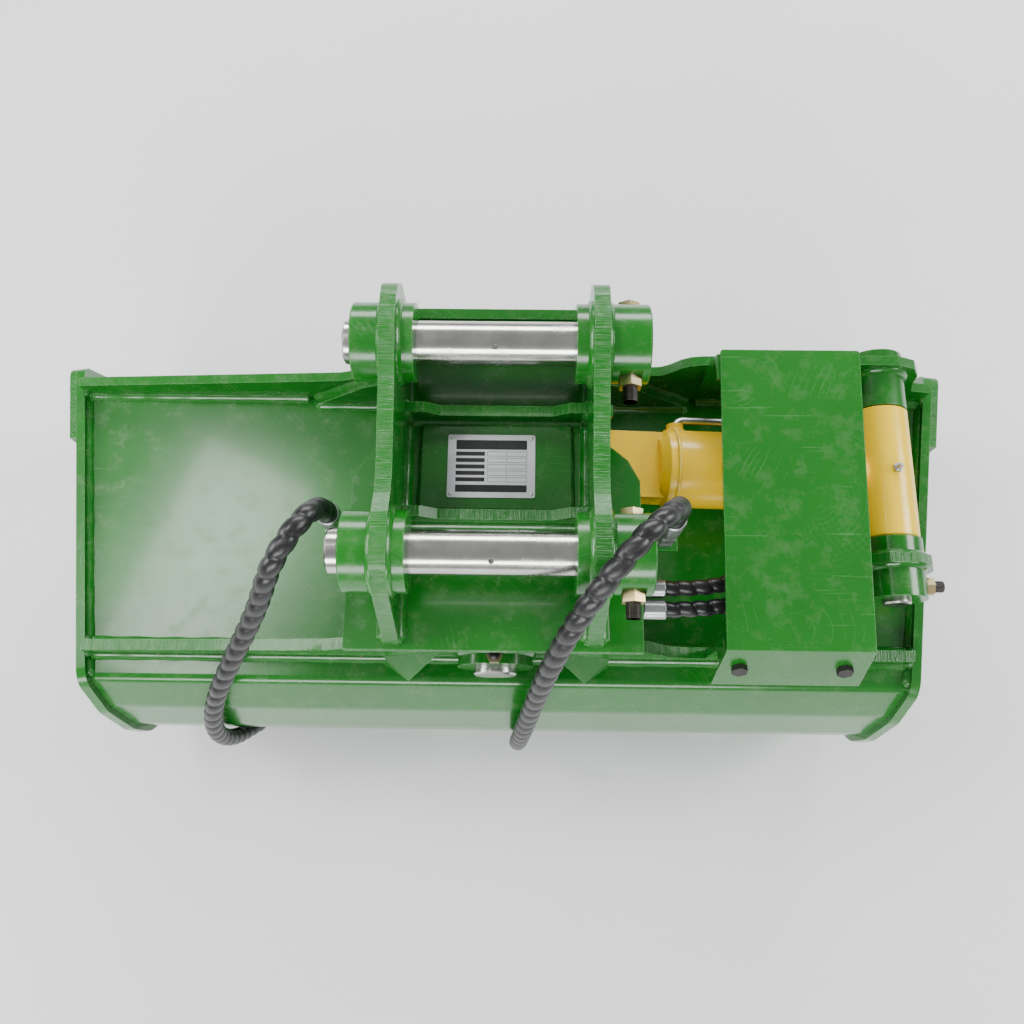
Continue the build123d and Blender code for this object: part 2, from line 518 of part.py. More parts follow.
rod_pin_nut = nut((face_right, keeper_y, rz), X, M14)

# Cover over the cylinder and the hose ports, one sheet with its rear lip folded down
lip_run = math.tan(math.radians(LIP_LEAN))
lip_dir = Vector(0, -math.sin(math.radians(LIP_LEAN)), -math.cos(math.radians(LIP_LEAN)))
lip_out = Vector(0, lip_dir.Z, -lip_dir.Y)
lip_corner = Vector(0, COVER_REAR_Y, COVER_Z)
lip_mitre = COVER_T * math.tan(math.radians(90 - LIP_LEAN) / 2)
lip_end = lip_corner + lip_dir * (LIP_DROP / math.cos(math.radians(LIP_LEAN)))
lip_tip = lip_end + lip_out * COVER_T
cover_face = make_face(Polyline((COVER_FRONT_Y, COVER_Z), (COVER_FRONT_Y, COVER_Z + COVER_T),
                                (COVER_REAR_Y - lip_mitre, COVER_Z + COVER_T), (lip_tip.Y, lip_tip.Z),
                                (lip_end.Y, lip_end.Z), (COVER_REAR_Y, COVER_Z), close=True))
cover_plan = plate_xy([(COVER_X[0][0], COVER_FRONT_Y), (COVER_X[0][1], COVER_FRONT_Y), (COVER_X[1][1], -161),
                       (COVER_X[1][1] + 1, -200), (COVER_X[1][0] - 8, -200), (COVER_X[1][0], -161)],
                      h, h + 400)
cover = plate_yz(cover_face, 200, 500) & cover_plan
cover = fillet(cover.edges().filter_by(Axis.Z).group_by(Axis.Y)[-1], 4)


def lip_inner_y(drop):
    """Y of the inner face of the cover's lip at a distance below the sheet."""
    return COVER_REAR_Y - drop * lip_run


cover_brackets = []
for cx in BRACKET_X:
    rear_post = make_face(Polyline((-139, h + 28), (-150, h + 28), (-150, h + 104),
                                   (lip_inner_y(60), COVER_Z - 60), (lip_inner_y(28), COVER_Z - 28),
                                   (-139, COVER_Z - 40), close=True))
    cover_brackets.append(plate_yz(rear_post, cx - 15, cx + 15))
    front_post = make_face(Polyline((FRONT_PLATE_Y, h + 70), (FRONT_PLATE_Y, h + 112),
                                    (208, COVER_Z - 8), (208, COVER_Z), (176, COVER_Z),
                                    (176, COVER_Z - 8), (200, COVER_Z - 8), (209, h + 104),
                                    (209, h + 70), close=True))
    cover_brackets.append(plate_yz(front_post, cx - 15, cx + 15))

# Bolts, washers and nuts that hold the lip of the cover to its rear brackets
cover_bolts = []
for cx in BRACKET_X:
    spot = Vector(cx, COVER_REAR_Y, COVER_Z) + lip_dir * BOLT_ALONG
    cover -= bar(spot - lip_out * 30, lip_out, M10[0] + 0.3, 60)
    seat = spot + lip_out * COVER_T
    stem = bar(seat, lip_out * -1, M10[0], BOLT_REACH)
    cover_brackets = [bracket - bar(seat, lip_out * -1, M10[0] + 0.01, BOLT_REACH)
                      for bracket in cover_brackets]
    cover_bolts.append(stem + hexagon(seat, lip_out, M10[1], M10[2] - 1))

# Hose brackets and bulkhead fittings on the head
FIT_BORE = 8.0
FIT_LEFT = (-HEAD_HALF - 16.0, -16.0)
FIT_RIGHT = (HEAD_HALF + 29.0, -22.0)
TAB_Z = h + 150.0
TAB_T = 8.0


def hose_tab(spot, side):
    """Bracket tab from the edge of the base plate out to a bulkhead fitting."""
    edge = side * HEAD_HALF
    outer = spot[0] + side * 16
    points = [(edge - side * 12, spot[1] - 16), (outer, spot[1] - 16), (outer, spot[1] + 16),
              (edge - side * 12, spot[1] + 16)]
    tab = plate_xy(points, TAB_Z, TAB_Z + TAB_T)
    return tab - bar((spot[0], spot[1], TAB_Z - 1), (0, 0, 1), FIT_BORE, 20)


def bulkhead(spot, axis, shoulder):
    """Bulkhead fitting: a threaded body through a plate with a hexagon on each side."""
    line = Vector(*axis)
    start = Vector(*spot)
    body = bar(start - line * 22, line, FIT_BORE - 0.05, 44 + shoulder)
    near = hexagon(start + line * shoulder, line, 24, 9)
    far = hexagon(start, line * -1, 24, 9)
    return body + near + far


tabs = [hose_tab(FIT_LEFT, -1), hose_tab(FIT_RIGHT, 1)]
fitting_left = bulkhead((FIT_LEFT[0], FIT_LEFT[1], TAB_Z), (0, 0, 1), TAB_T)
fitting_right = bulkhead((FIT_RIGHT[0], FIT_RIGHT[1], TAB_Z), (0, 0, 1), TAB_T)
PORT_PLATE_X = (150.0, 158.0)
PORT_YS = (-78.0, -104.0)
PORT_PLATE_Z = h + 124.0
port_plate = plate_yz(make_face(Polyline((-124, HEAD_Z), (-124, h + 104), (-58, h + 104),
                                         (-58, HEAD_Z), close=True)), *PORT_PLATE_X)
port_fittings = []
for py in PORT_YS:
    port_plate -= bar((140, py, PORT_PLATE_Z), X, FIT_BORE, 30)
    port_fittings.append(bulkhead((PORT_PLATE_X[0], py, PORT_PLATE_Z), X, TAB_T))


def tube_along(points, radius, radii):
    """Round bar swept along straight runs joined by tangent arcs."""
    path = FilletPolyline(*points, radius=radii)
    heading = Vector(*points[1]) - Vector(*points[0])
    return sweep(Plane(origin=points[0], z_dir=heading) * Circle(radius), path=path)


def corner_radii(points):
    """Radius at each inner corner: 0.45 of the shorter run over tan of half the turn."""
    radii = []
    for a, b, c in zip(points, points[1:], points[2:]):
        first, second = Vector(*b) - Vector(*a), Vector(*c) - Vector(*b)
        turn = math.radians(first.get_angle(second))
        radii.append(0.45 * min(first.length, second.length) / math.tan(turn / 2))
    return radii


# Steel transfer pipes under the head, from the long hoses' fittings to the port plate
FIT_LOW = TAB_Z - 22
PORT_BACK = PORT_PLATE_X[0] - 22
pipe_left_points = [(FIT_LEFT[0], FIT_LEFT[1], FIT_LOW), (FIT_LEFT[0], FIT_LEFT[1], FIT_LOW - 22),
                    (-150, PORT_YS[1] + 10, PORT_PLATE_Z - 6), (60, PORT_YS[1], PORT_PLATE_Z),
                    (PORT_BACK, PORT_YS[1], PORT_PLATE_Z)]
pipe_right_points = [(FIT_RIGHT[0], FIT_RIGHT[1], FIT_LOW), (FIT_RIGHT[0], FIT_RIGHT[1], FIT_LOW - 24),
                     (130, -26, PORT_PLATE_Z - 6), (60, PORT_YS[0], PORT_PLATE_Z),
                     (PORT_BACK, PORT_YS[0], PORT_PLATE_Z)]
transfer_left = tube_along(pipe_left_points, 5.0, 11.0)
transfer_right = tube_along(pipe_right_points, 5.0, 11.0)

# Crimped hose ends that stand on the two bulkhead fittings
HOSE_TOP = (h + 225.0, h + 240.0)


def hose_end(spot, top):
    """Crimped hose end: its nut on the bulkhead fitting and its ferrule up to the hose."""
    foot = TAB_Z + TAB_T + 22
    swivel = hexagon((spot[0], spot[1], foot), (0, 0, 1), 26, 15)
    return swivel + bar((spot[0], spot[1], foot + 15), (0, 0, 1), HOSE_R - 1, top - foot - 15)


hose_ends = [hose_end(FIT_LEFT, HOSE_TOP[0]), hose_end(FIT_RIGHT, HOSE_TOP[1])]

# Long hoses: up and over the head and the heel, then down behind the heel to the floor
hose_left_points = [(FIT_LEFT[0], FIT_LEFT[1], HOSE_TOP[0]), (FIT_LEFT[0], FIT_LEFT[1], h + 258),
                    (FIT_LEFT[0] - 9, -34, h + 289), (FIT_LEFT[0] - 26, -63, h + 299),
                    (FIT_LEFT[0] - 47, -94, h + 282),
                    (-264, -124, h + 214), (-318, -172, h + 116), (-366, -214, h + 18),
                    (-394, -246, h - 84), (-402, -260, h - 190), (-396, -238, h - 290),
                    (-376, -212, 32), (-320, -204, 13.5), (-214, -206, 13), (-112, -204, 13)]
hose_right_points = [(FIT_RIGHT[0], FIT_RIGHT[1], HOSE_TOP[1]), (FIT_RIGHT[0], FIT_RIGHT[1], h + 290),
                     (FIT_RIGHT[0] - 13, -37, h + 330), (FIT_RIGHT[0] - 43, -65, h + 352),
                     (122, -108, h + 346),
                     (86, -152, h + 290), (62, -190, h + 190), (46, -222, h + 76),
                     (34, -248, h - 38), (28, -260, h - 150), (30, -250, h - 254),
                     (50, -216, 32), (106, -204, 13.5), (212, -206, 13), (314, -204, 13)]
hose_left = tube_along(hose_left_points, HOSE_R, corner_radii(hose_left_points))
hose_right = tube_along(hose_right_points, HOSE_R, corner_radii(hose_right_points))


def coupler(points):
    """Quick coupler on the end of a hose, with its hexagon and dust plug."""
    end = Vector(*points[-1])
    line = (end - Vector(*points[-2])).normalized()
    lift = Vector(0, 0, 0.8)
    body = hexagon(end + lift, line, 24, 16)
    body += bar(end + lift + line * 16, line, 12.5, 34)
    return body + bar(end + lift + line * 50, line, 11, 8)


coupler_left = coupler(hose_left_points)
coupler_right = coupler(hose_right_points)

# Short hoses from the port plate to the manifold on the cylinder
PORT_FRONT = PORT_PLATE_X[0] + TAB_T + 22
short_ends = [(cyl_place * Pos(px, PORT_Y, 20)).position for px in PORT_X]


def quarter_route(port_y, end, first, second):
    """Route that turns from +X to +Y in three equal corners."""
    x, y, z = end.X, end.Y - 14, end.Z
    last = y - port_y - 0.5 * first - 0.866 * second
    drop = (PORT_PLATE_Z - z) / 2
    return [(PORT_FRONT, port_y, PORT_PLATE_Z), (x - 0.866 * first - 0.5 * second, port_y, PORT_PLATE_Z),
            (x - 0.5 * second, port_y + 0.5 * first, PORT_PLATE_Z - drop), (x, y - last, z), (x, y, z)]


short_a_points = quarter_route(PORT_YS[0], short_ends[0], 38, 38)
short_b_points = quarter_route(PORT_YS[1], short_ends[1], 50, 50)
short_a = tube_along(short_a_points, SHORT_HOSE_R, corner_radii(short_a_points))
short_b = tube_along(short_b_points, SHORT_HOSE_R, corner_radii(short_b_points))
cylinder_unions = []
for px in PORT_X:
    union = hexagon((px, PORT_Y, 20), (0, -1, 0), 22, 14) + bar((px, PORT_Y, 20), Y, 5.95, 13)
    cylinder_unions.append(cyl_place * union)

NODES = {
    "shell_plate": shell, "side_plate_left": side_left, "side_plate_right": side_right,
    "side_cutters": [cutter_left, cutter_right], "cutting_edge": blade,
    "front_cross_plate": front_plate, "front_plate_doubler": doubler, "rear_cross_plate": rear_plate,
    "rear_gussets": gusset_pair, "pivot_bosses": [front_boss, rear_boss],
    "tilt_pin": tilt_pin, "keeper_bolts": [tilt_bolt, rod_pin_bolt],
    "keeper_nuts": [tilt_nut, rod_pin_nut], "thrust_washers": washers,
    "cylinder_rear_lug": rear_lug, "cylinder_lug_bosses": lug_bosses, "cylinder_rod_pin": rod_pin,
    "cylinder_cover": cover, "cover_brackets": cover_brackets, "cover_bolts": cover_bolts,
    "head_base_plate": head_base, "ear_left": ear_left, "ear_right": ear_right,
    "ear_bosses_left": bosses_left, "ear_bosses_right": bosses_right,
    "head_front_plate": head_front, "head_stiffeners": stiffeners, "data_panel": data_panel,
    "data_plate": data_plate, "data_plate_rivets": plate_rivets, "upper_hitch_pin": upper_pin,
    "lower_hitch_pin": lower_pin, "hitch_pin_bolts": hitch_bolts, "hitch_pin_nuts": hitch_nuts,
    "head_webs": webs, "pivot_housings": housings, "pivot_bushes": bushes,
    "cylinder_base_pin": base_pin, "base_pin_rings": pin_rings, "hose_brackets": tabs,
    "hose_fittings": [fitting_left, fitting_right], "hose_ends": hose_ends,
    "port_plate": port_plate, "port_fittings": port_fittings,
    "transfer_pipes": [transfer_left, transfer_right],
    "cylinder_barrel": barrel, "base_eye_bush": base_bush, "cylinder_pipe": pipe,
    "cylinder_gland": [gland, wiper],
    "cylinder_unions": cylinder_unions, "cylinder_piston": [piston] + piston_seals,
    "cylinder_rod": [rod, rod_eye], "rod_eye_bushes": rod_bushes, "grease_nipple": nipple,
    "long_hose_left": hose_left, "hose_coupler_left": coupler_left,
    "long_hose_right": hose_right, "hose_coupler_right": coupler_right,
    "short_hose_rod_side": short_a, "short_hose_base_side": short_b,
}

for name, piece in NODES.items():
    solids = []
    for item in piece if isinstance(piece, list) else [piece]:
        solids += list(item.solids())
    export_step(Compound(children=solids) if len(solids) > 1 else solids[0], f"parts/{name}.step")

for name, points in (("long_hose_left", hose_left_points), ("long_hose_right", hose_right_points),
                     ("short_hose_rod_side", short_a_points), ("short_hose_base_side", short_b_points)):
    print(name, "corner radii, mm:", [round(radius) for radius in corner_radii(points)])
print(len(NODES), "nodes")
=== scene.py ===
"""Looks of the tilt bucket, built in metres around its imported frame."""

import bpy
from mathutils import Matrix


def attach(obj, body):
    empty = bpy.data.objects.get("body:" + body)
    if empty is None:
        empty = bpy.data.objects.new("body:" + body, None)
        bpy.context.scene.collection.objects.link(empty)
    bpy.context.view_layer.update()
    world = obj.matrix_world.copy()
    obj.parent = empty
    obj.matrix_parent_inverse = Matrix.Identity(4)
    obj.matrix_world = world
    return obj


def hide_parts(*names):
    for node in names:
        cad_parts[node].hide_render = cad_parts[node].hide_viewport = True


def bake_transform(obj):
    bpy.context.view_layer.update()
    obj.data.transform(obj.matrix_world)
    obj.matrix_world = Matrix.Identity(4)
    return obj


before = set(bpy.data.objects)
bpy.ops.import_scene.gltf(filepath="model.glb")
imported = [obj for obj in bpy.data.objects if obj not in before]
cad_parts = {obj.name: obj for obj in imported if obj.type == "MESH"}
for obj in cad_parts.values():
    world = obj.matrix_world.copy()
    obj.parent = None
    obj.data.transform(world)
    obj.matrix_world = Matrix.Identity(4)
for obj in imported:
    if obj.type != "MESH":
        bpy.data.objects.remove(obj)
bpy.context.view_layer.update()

import logging
import math
from collections.abc import Callable, Sequence
from dataclasses import dataclass, field
from enum import Enum

import bmesh
import bpy
from mathutils import Matrix, Vector

LOG = logging.getLogger("tilt_bucket")
Point = tuple[float, float, float]
MM = 0.001


class Body(Enum):
    """Bodies of the frame that a piece can ride on."""

    BUCKET = "bucket"
    HEAD = "head"
    BARREL = "barrel"
    ROD = "rod"


class Slot(Enum):
    """Names of the material slots."""

    GREEN = "green_paint"
    YELLOW = "yellow_paint"
    PIN = "polished_pin"
    ZINC = "zinc_fastener"
    PLATED = "plated_fitting"
    GUARD = "hose_guard"
    BRONZE = "bronze_bush"
    ALUMINIUM = "aluminium_plate"
    CHROME = "chromed_rod"
    STEEL = "steel_inner"


class CutEdge(Enum):
    """Direction through a plate, along which its flame-cut edge is grooved."""

    NONE = -1
    X = 0
    Y = 1
    Z = 2


# Shader nodes


class Signal:
    """One shader value; arithmetic on it adds Math nodes."""

    def __init__(self, recipe: "Recipe", socket: bpy.types.NodeSocket) -> None:
        """Keep the recipe and the socket."""
        self.recipe = recipe
        self.socket = socket

    def math(self, operation: str, first: object, second: object = 0.0) -> "Signal":
        """Add one Math node.

        Args:
            operation: Name of the Math operation.
            first: First operand, a Signal or a number.
            second: Second operand.

        Returns:
            The node's result.
        """
        return self.recipe.add("ShaderNodeMath", {"operation": operation}, {0: first, 1: second})

    def __add__(self, other: object) -> "Signal":
        """Sum."""
        return self.math("ADD", self, other)

    def __radd__(self, other: object) -> "Signal":
        """Sum, reflected."""
        return self.math("ADD", other, self)

    def __sub__(self, other: object) -> "Signal":
        """Difference."""
        return self.math("SUBTRACT", self, other)

    def __rsub__(self, other: object) -> "Signal":
        """Difference, reflected."""
        return self.math("SUBTRACT", other, self)

    def __mul__(self, other: object) -> "Signal":
        """Product."""
        return self.math("MULTIPLY", self, other)

    def __rmul__(self, other: object) -> "Signal":
        """Product, reflected."""
        return self.math("MULTIPLY", other, self)

    def __pow__(self, other: object) -> "Signal":
        """Power."""
        return self.math("POWER", self, other)

    def size(self) -> "Signal":
        """Absolute value."""
        return self.math("ABSOLUTE", self)

    def fraction(self) -> "Signal":
        """Part after the decimal point."""
        return self.math("FRACT", self)

    def ramp(self, low: float, high: float) -> "Signal":
        """Rise from 0 at low to 1 at high, clamped.

        Args:
            low: Value that gives 0.
            high: Value that gives 1; below low the ramp falls.

        Returns:
            The mask.
        """
        return self.recipe.add("ShaderNodeMapRange", {"clamp": True},
                               {"Value": self, "From Min": low, "From Max": high})


class Recipe:
    """Node tree of one material."""

    def __init__(self, name: str) -> None:
        """Start an empty tree.

        Args:
            name: Name of the material.
        """
        self.material = bpy.data.materials.new(name)
        self.material.use_nodes = True
        self.tree = self.material.node_tree
        self.tree.nodes.clear()
        self.place = self.add("ShaderNodeTexCoord", {}, {}, "Object")

    def add(self, kind: str, settings: dict[str, object], inputs: dict[object, object],
            output: object = 0) -> Signal:
        """Add one node.

        Args:
            kind: Node type.
            settings: Properties that are set first.
            inputs: Values or Signals by socket name or index.
            output: Name or index of the output that is wanted.

        Returns:
            The output as a Signal.
        """
        node = self.tree.nodes.new(kind)
        for key, value in settings.items():
            setattr(node, key, value)
        for key, value in inputs.items():
            if isinstance(value, Signal):
                self.tree.links.new(value.socket, node.inputs[key])
            else:
                node.inputs[key].default_value = value
        return Signal(self, node.outputs[output])

    def stretched(self, scale: Point, turn: Point = (0.0, 0.0, 0.0)) -> Signal:
        """Object coordinates scaled and turned.

        Args:
            scale: Scale along each axis.
            turn: Turn about each axis, in radians.

        Returns:
            The coordinates.
        """
        return self.add("ShaderNodeMapping", {}, {"Vector": self.place, "Scale": scale, "Rotation": turn})

    def noise(self, scale: float, detail: float = 3.0, place: Signal | None = None,
              roughness: float = 0.55) -> Signal:
        """Noise texture.

        Args:
            scale: Features per metre.
            detail: Octaves.
            place: Coordinates, Object ones where left out.
            roughness: Strength of the finer octaves.

        Returns:
            Its factor.
        """
        return self.add("ShaderNodeTexNoise", {}, {"Vector": place or self.place, "Scale": scale,
                                                   "Detail": detail, "Roughness": roughness})

    def blend(self, mask: object, under: object, over: object) -> Signal:
        """Mix two colours.

        Args:
            mask: Share of the upper colour.
            under: Colour where the mask is 0.
            over: Colour where it is 1.

        Returns:
            The mixed colour.
        """
        return self.add("ShaderNodeMix", {"data_type": "RGBA"}, {0: mask, 6: under, 7: over}, 2)

    def axes(self, vector: Signal) -> list[Signal]:
        """The three parts of a vector."""
        split = self.add("ShaderNodeSeparateXYZ", {}, {0: vector})
        return [Signal(self, output) for output in split.socket.node.outputs]

    def soft_edge(self, radius: float) -> Signal:
        """Surface normal with its edges rounded.

        Args:
            radius: Radius of the rounding.

        Returns:
            The normal.
        """
        return self.add("ShaderNodeBevel", {"samples": 4}, {"Radius": radius})

    def edge_wear_and_sheen(self, radius: float) -> Signal:
        """Mask that is 1 on outer and inner edges.

        Args:
            radius: How far in from the edge it reaches.

        Returns:
            The mask.
        """
        rounded = self.soft_edge(radius)
        flat = self.add("ShaderNodeNewGeometry", {}, {}, "True Normal")
        same = self.add("ShaderNodeVectorMath", {"operation": "DOT_PRODUCT"}, {0: rounded, 1: flat}, "Value")
        return same.ramp(0.985, 0.86)

    def finish(self, base: object, roughness: object, metallic: object = 0.0, height: Signal | None = None,
               depth: float = 0.0002, coat: float = 0.0, edge: float = 0.0008) -> bpy.types.Material:
        """Close the tree with its shader.

        Args:
            base: Base colour.
            roughness: Roughness.
            metallic: Share of metal.
            height: Height for the bump, from 0 to 1.
            depth: Depth of the bump in metres.
            coat: Clear coat weight.
            edge: Radius that edges are rounded with.

        Returns:
            The material.
        """
        normal = self.soft_edge(edge) if edge else None
        if height is not None:
            inputs = {"Height": height, "Distance": depth, "Strength": 1.0}
            if normal is not None:
                inputs["Normal"] = normal
            normal = self.add("ShaderNodeBump", {}, inputs)
        sockets = {"Base Color": base, "Roughness": roughness, "Metallic": metallic,
                   "Coat Weight": coat, "Coat Roughness": 0.08}
        if normal is not None:
            sockets["Normal"] = normal
        shader = self.add("ShaderNodeBsdfPrincipled", {}, sockets)
        self.add_output(shader)
        return self.material

    def add_output(self, shader: Signal) -> None:
        """Link the shader to the material output."""
        end = self.tree.nodes.new("ShaderNodeOutputMaterial")
        self.tree.links.new(shader.socket, end.inputs[0])


@dataclass(frozen=True)
class Paint:
    """Glossy machine paint with swirled scratches, dust, chipped wear on its edges, and every edge lightened as a
    painted highlight.
    """

    name: str
    colour: Point
    deep: Point
    worn_and_sheen: Point
    cut: CutEdge = CutEdge.NONE
    scratch: float = 0.5
    gloss: float = 0.2

    def swirls(self, recipe: Recipe, cells: float, rings: float, seed: float) -> Signal:
        """Broken arcs of fine scratches round scattered centres.

        Args:
            recipe: Tree to build in.
            cells: Centres per metre.
            rings: Arcs per cell.
            seed: Shift of the pattern.

        Returns:
            The mask.
        """
        moved = recipe.add("ShaderNodeMapping", {}, {"Vector": recipe.place, "Location": (seed, seed, seed)})
        wobble = recipe.noise(4.0, 2.0, moved) * 0.12
        distance = recipe.add("ShaderNodeTexVoronoi", {"feature": "F1"}, {"Vector": moved, "Scale": cells},
                              "Distance")
        line = ((distance + wobble) * rings).fraction().ramp(0.05, 0.0)
        patch = recipe.noise(14.0, 2.0, moved).ramp(0.52, 0.66)
        return line * patch

    def material(self) -> bpy.types.Material:
        """Build the material."""
        recipe = Recipe(self.name)
        cloud = recipe.noise(3.0, 5.0).ramp(0.32, 0.72)
        peel = recipe.noise(330.0, 2.0)
        dust = recipe.noise(40.0, 6.0, None, 0.7).ramp(0.5, 0.85)
        arcs = self.swirls(recipe, 3.0, 46.0, 0.0) + self.swirls(recipe, 5.0, 30.0, 3.7)
        lines = recipe.noise(1.0, 2.0, recipe.stretched((9.0, 420.0, 420.0), (0.2, 0.3, 0.9))).ramp(0.70, 0.74)
        marks = ((arcs + lines * 0.7) * self.scratch).ramp(0.0, 1.0)
        chips = recipe.noise(120.0, 4.0, None, 0.7).ramp(0.55, 0.66)
        edge = recipe.edge_wear_and_sheen(0.0022)
        wear = edge * chips
        tone = recipe.blend(cloud, (*self.deep, 1.0), (*self.colour, 1.0))
        # Painted highlight, partly wear: every outer and inner edge is lightened towards the pale tone; the chipped
        # bare metal below is the real wear.
        tone = recipe.blend(edge * 0.35, tone, (*self.worn_and_sheen, 1.0))
        tone = recipe.blend(marks * 0.4, tone, (*self.worn_and_sheen, 1.0))
        tone = recipe.blend(dust * 0.10, tone, (0.55, 0.52, 0.42, 1.0))
        tone = recipe.blend(wear * 0.55, tone, (0.32, 0.30, 0.27, 1.0))
        rough = self.gloss + cloud * 0.07 + dust * 0.16 + marks * 0.22 + wear * 0.15
        height = peel * 0.10 - marks * 0.25 - wear * 0.35 + 0.6
        if self.cut is not CutEdge.NONE:
            along = [900.0, 900.0, 900.0]
            along[self.cut.value] = 14.0
            grooves = recipe.noise(1.0, 2.0, recipe.stretched(tuple(along)))
            facing = recipe.axes(recipe.add("ShaderNodeTexCoord", {}, {}, "Normal"))[self.cut.value].size()
            height = height + grooves * facing.ramp(0.5, 0.2) * 2.6
        return recipe.finish(tone, rough, 0.0, height, 0.0004, 0.25, 0.0012)


@dataclass(frozen=True)
class Metal:
    """Bare or plated metal with fine tool lines, smudges and grime."""

    name: str
    colour: Point
    other: Point
    roughness: float
    lines: Point = (60.0, 60.0, 60.0)
    line_depth: float = 0.00004
    metallic: float = 1.0
    grime: float = 0.25

    def material(self) -> bpy.types.Material:
        """Build the material."""
        recipe = Recipe(self.name)
        lines = recipe.noise(1.0, 3.0, recipe.stretched(self.lines))
        patch = recipe.noise(35.0, 4.0).ramp(0.35, 0.7)
        dirt = recipe.noise(18.0, 6.0, None, 0.7).ramp(0.52, 0.8)
        tone = recipe.blend(patch, (*self.colour, 1.0), (*self.other, 1.0))
        tone = recipe.blend(dirt * self.grime, tone, (0.10, 0.085, 0.06, 1.0))
        rough = self.roughness + lines * 0.12 + dirt * 0.2
        return recipe.finish(tone, rough, self.metallic, lines, self.line_depth, 0.0, 0.0005)


@dataclass(frozen=True)
class RodFinish:
    """Chromed rod whose eye is painted."""

    name: str
    paint: Point
    chrome: Point
    eye_from: float

    def material(self) -> bpy.types.Material:
        """Build the material."""
        recipe = Recipe(self.name)
        along = recipe.axes(recipe.place)[0]
        eye = along.ramp(self.eye_from - 0.0005, self.eye_from)
        peel = recipe.noise(330.0, 2.0)
        dirt = recipe.noise(30.0, 5.0, None, 0.7).ramp(0.52, 0.8)
        scuff = recipe.edge_wear_and_sheen(0.002) * recipe.noise(150.0, 3.0).ramp(0.48, 0.62)
        tone = recipe.blend(eye, (*self.chrome, 1.0), (*self.paint, 1.0))
        tone = recipe.blend(dirt * 0.18, tone, (0.22, 0.17, 0.06, 1.0))
        tone = recipe.blend(scuff * 0.5, tone, (0.35, 0.33, 0.3, 1.0))
        rough = 0.12 + eye * 0.12 + dirt * 0.2
        return recipe.finish(tone, rough, 1.0 - eye, peel, 0.00004, 0.3, 0.001)


@dataclass(frozen=True)
class Rubber:
    """Black hose rubber or plastic with dust and rubbed places."""

    name: str
    colour: Point
    rubbed: Point
    roughness: float
    grain: float

    def material(self) -> bpy.types.Material:
        """Build the material."""
        recipe = Recipe(self.name)
        grain = recipe.noise(self.grain, 3.0)
        rub = recipe.noise(22.0, 5.0, None, 0.65).ramp(0.5, 0.75)
        streak = recipe.noise(1.0, 2.0, recipe.stretched((60.0, 60.0, 700.0))).ramp(0.55, 0.7)
        tone = recipe.blend(rub * 0.7, (*self.colour, 1.0), (*self.rubbed, 1.0))
        tone = recipe.blend(streak * 0.12, tone, (0.16, 0.15, 0.13, 1.0))
        rough = self.roughness + rub * 0.15 + streak * 0.06
        return recipe.finish(tone, rough, 0.0, grain, 0.0002, 0.0, 0.0)


@dataclass(frozen=True)
class Floor:
    """Plain pale floor."""

    name: str = "pale_floor"

    def material(self) -> bpy.types.Material:
        """Build the material."""
        recipe = Recipe(self.name)
        speck = recipe.noise(6.0, 2.0)
        tone = recipe.blend(speck, (0.86, 0.86, 0.86, 1.0), (0.89, 0.89, 0.89, 1.0))
        return recipe.finish(tone, 0.75, 0.0, None, 0.0, 0.0, 0.0)


# Colour, a deeper random tone, and a pale tone used for scratches and for the painted highlight on edges.
GREEN = ((0.006, 0.165, 0.008), (0.005, 0.125, 0.006), (0.10, 0.40, 0.10))
YELLOW = ((1.0, 0.66, 0.0), (0.92, 0.56, 0.0), (1.0, 0.80, 0.15))


class Finishes:
    """Every finish of the bucket, made once and handed out by name."""

    def __init__(self) -> None:
        """Build the finishes."""
        made = {
            "green": Paint("green_gloss", *GREEN),
            "green_x": Paint("green_gloss_cut_x", *GREEN, CutEdge.X),
            "green_y": Paint("green_gloss_cut_y", *GREEN, CutEdge.Y),
            "green_z": Paint("green_gloss_cut_z", *GREEN, CutEdge.Z),
            "green_cover": Paint("green_scratched_cover", *GREEN, CutEdge.NONE, 0.9, 0.24),
            "green_weld": Paint("green_weld", *GREEN, CutEdge.NONE, 0.1, 0.16),
            "yellow": Paint("yellow_gloss", *YELLOW, CutEdge.NONE, 0.35, 0.24),
            "pin_x": Metal("polished_pin_across", (0.62, 0.61, 0.58), (0.50, 0.49, 0.46), 0.14,
                           (800.0, 10.0, 10.0)),
            "pin_y": Metal("polished_pin_along", (0.60, 0.59, 0.56), (0.48, 0.47, 0.44), 0.18,
                           (10.0, 800.0, 10.0)),
            "zinc": Metal("yellow_zinc", (0.60, 0.46, 0.20), (0.50, 0.44, 0.30), 0.28, (90.0, 90.0, 90.0)),
            "black_bolt": Metal("black_oxide", (0.045, 0.043, 0.042), (0.07, 0.065, 0.06), 0.38),
            "plated": Metal("clear_zinc", (0.52, 0.53, 0.54), (0.42, 0.43, 0.43), 0.30, (150.0, 150.0, 150.0)),
            "bronze": Metal("bearing_bronze", (0.50, 0.30, 0.12), (0.38, 0.22, 0.09), 0.35),
            "aluminium": Metal("brushed_aluminium", (0.74, 0.75, 0.76), (0.66, 0.67, 0.68), 0.34,
                               (8.0, 700.0, 700.0), 0.00002, 1.0, 0.1),
            "enamel": Metal("black_enamel", (0.012, 0.012, 0.013), (0.02, 0.02, 0.022), 0.3,
                            (60.0, 60.0, 60.0), 0.00001, 0.0, 0.2),
            "steel": Metal("turned_steel", (0.40, 0.39, 0.37), (0.32, 0.31, 0.29), 0.32, (300.0, 30.0, 30.0)),
            "rod": RodFinish("rod_and_eye", YELLOW[0], (0.66, 0.67, 0.68), 0.4685),
            "guard": Rubber("hose_guard_plastic", (0.010, 0.010, 0.011), (0.028, 0.028, 0.030), 0.34, 260.0),
            "floor": Floor(),
        }
        self.materials = {key: finish.material() for key, finish in made.items()}

    def get(self, key: str) -> bpy.types.Material:
        """Material by its short name."""
        return self.materials[key]


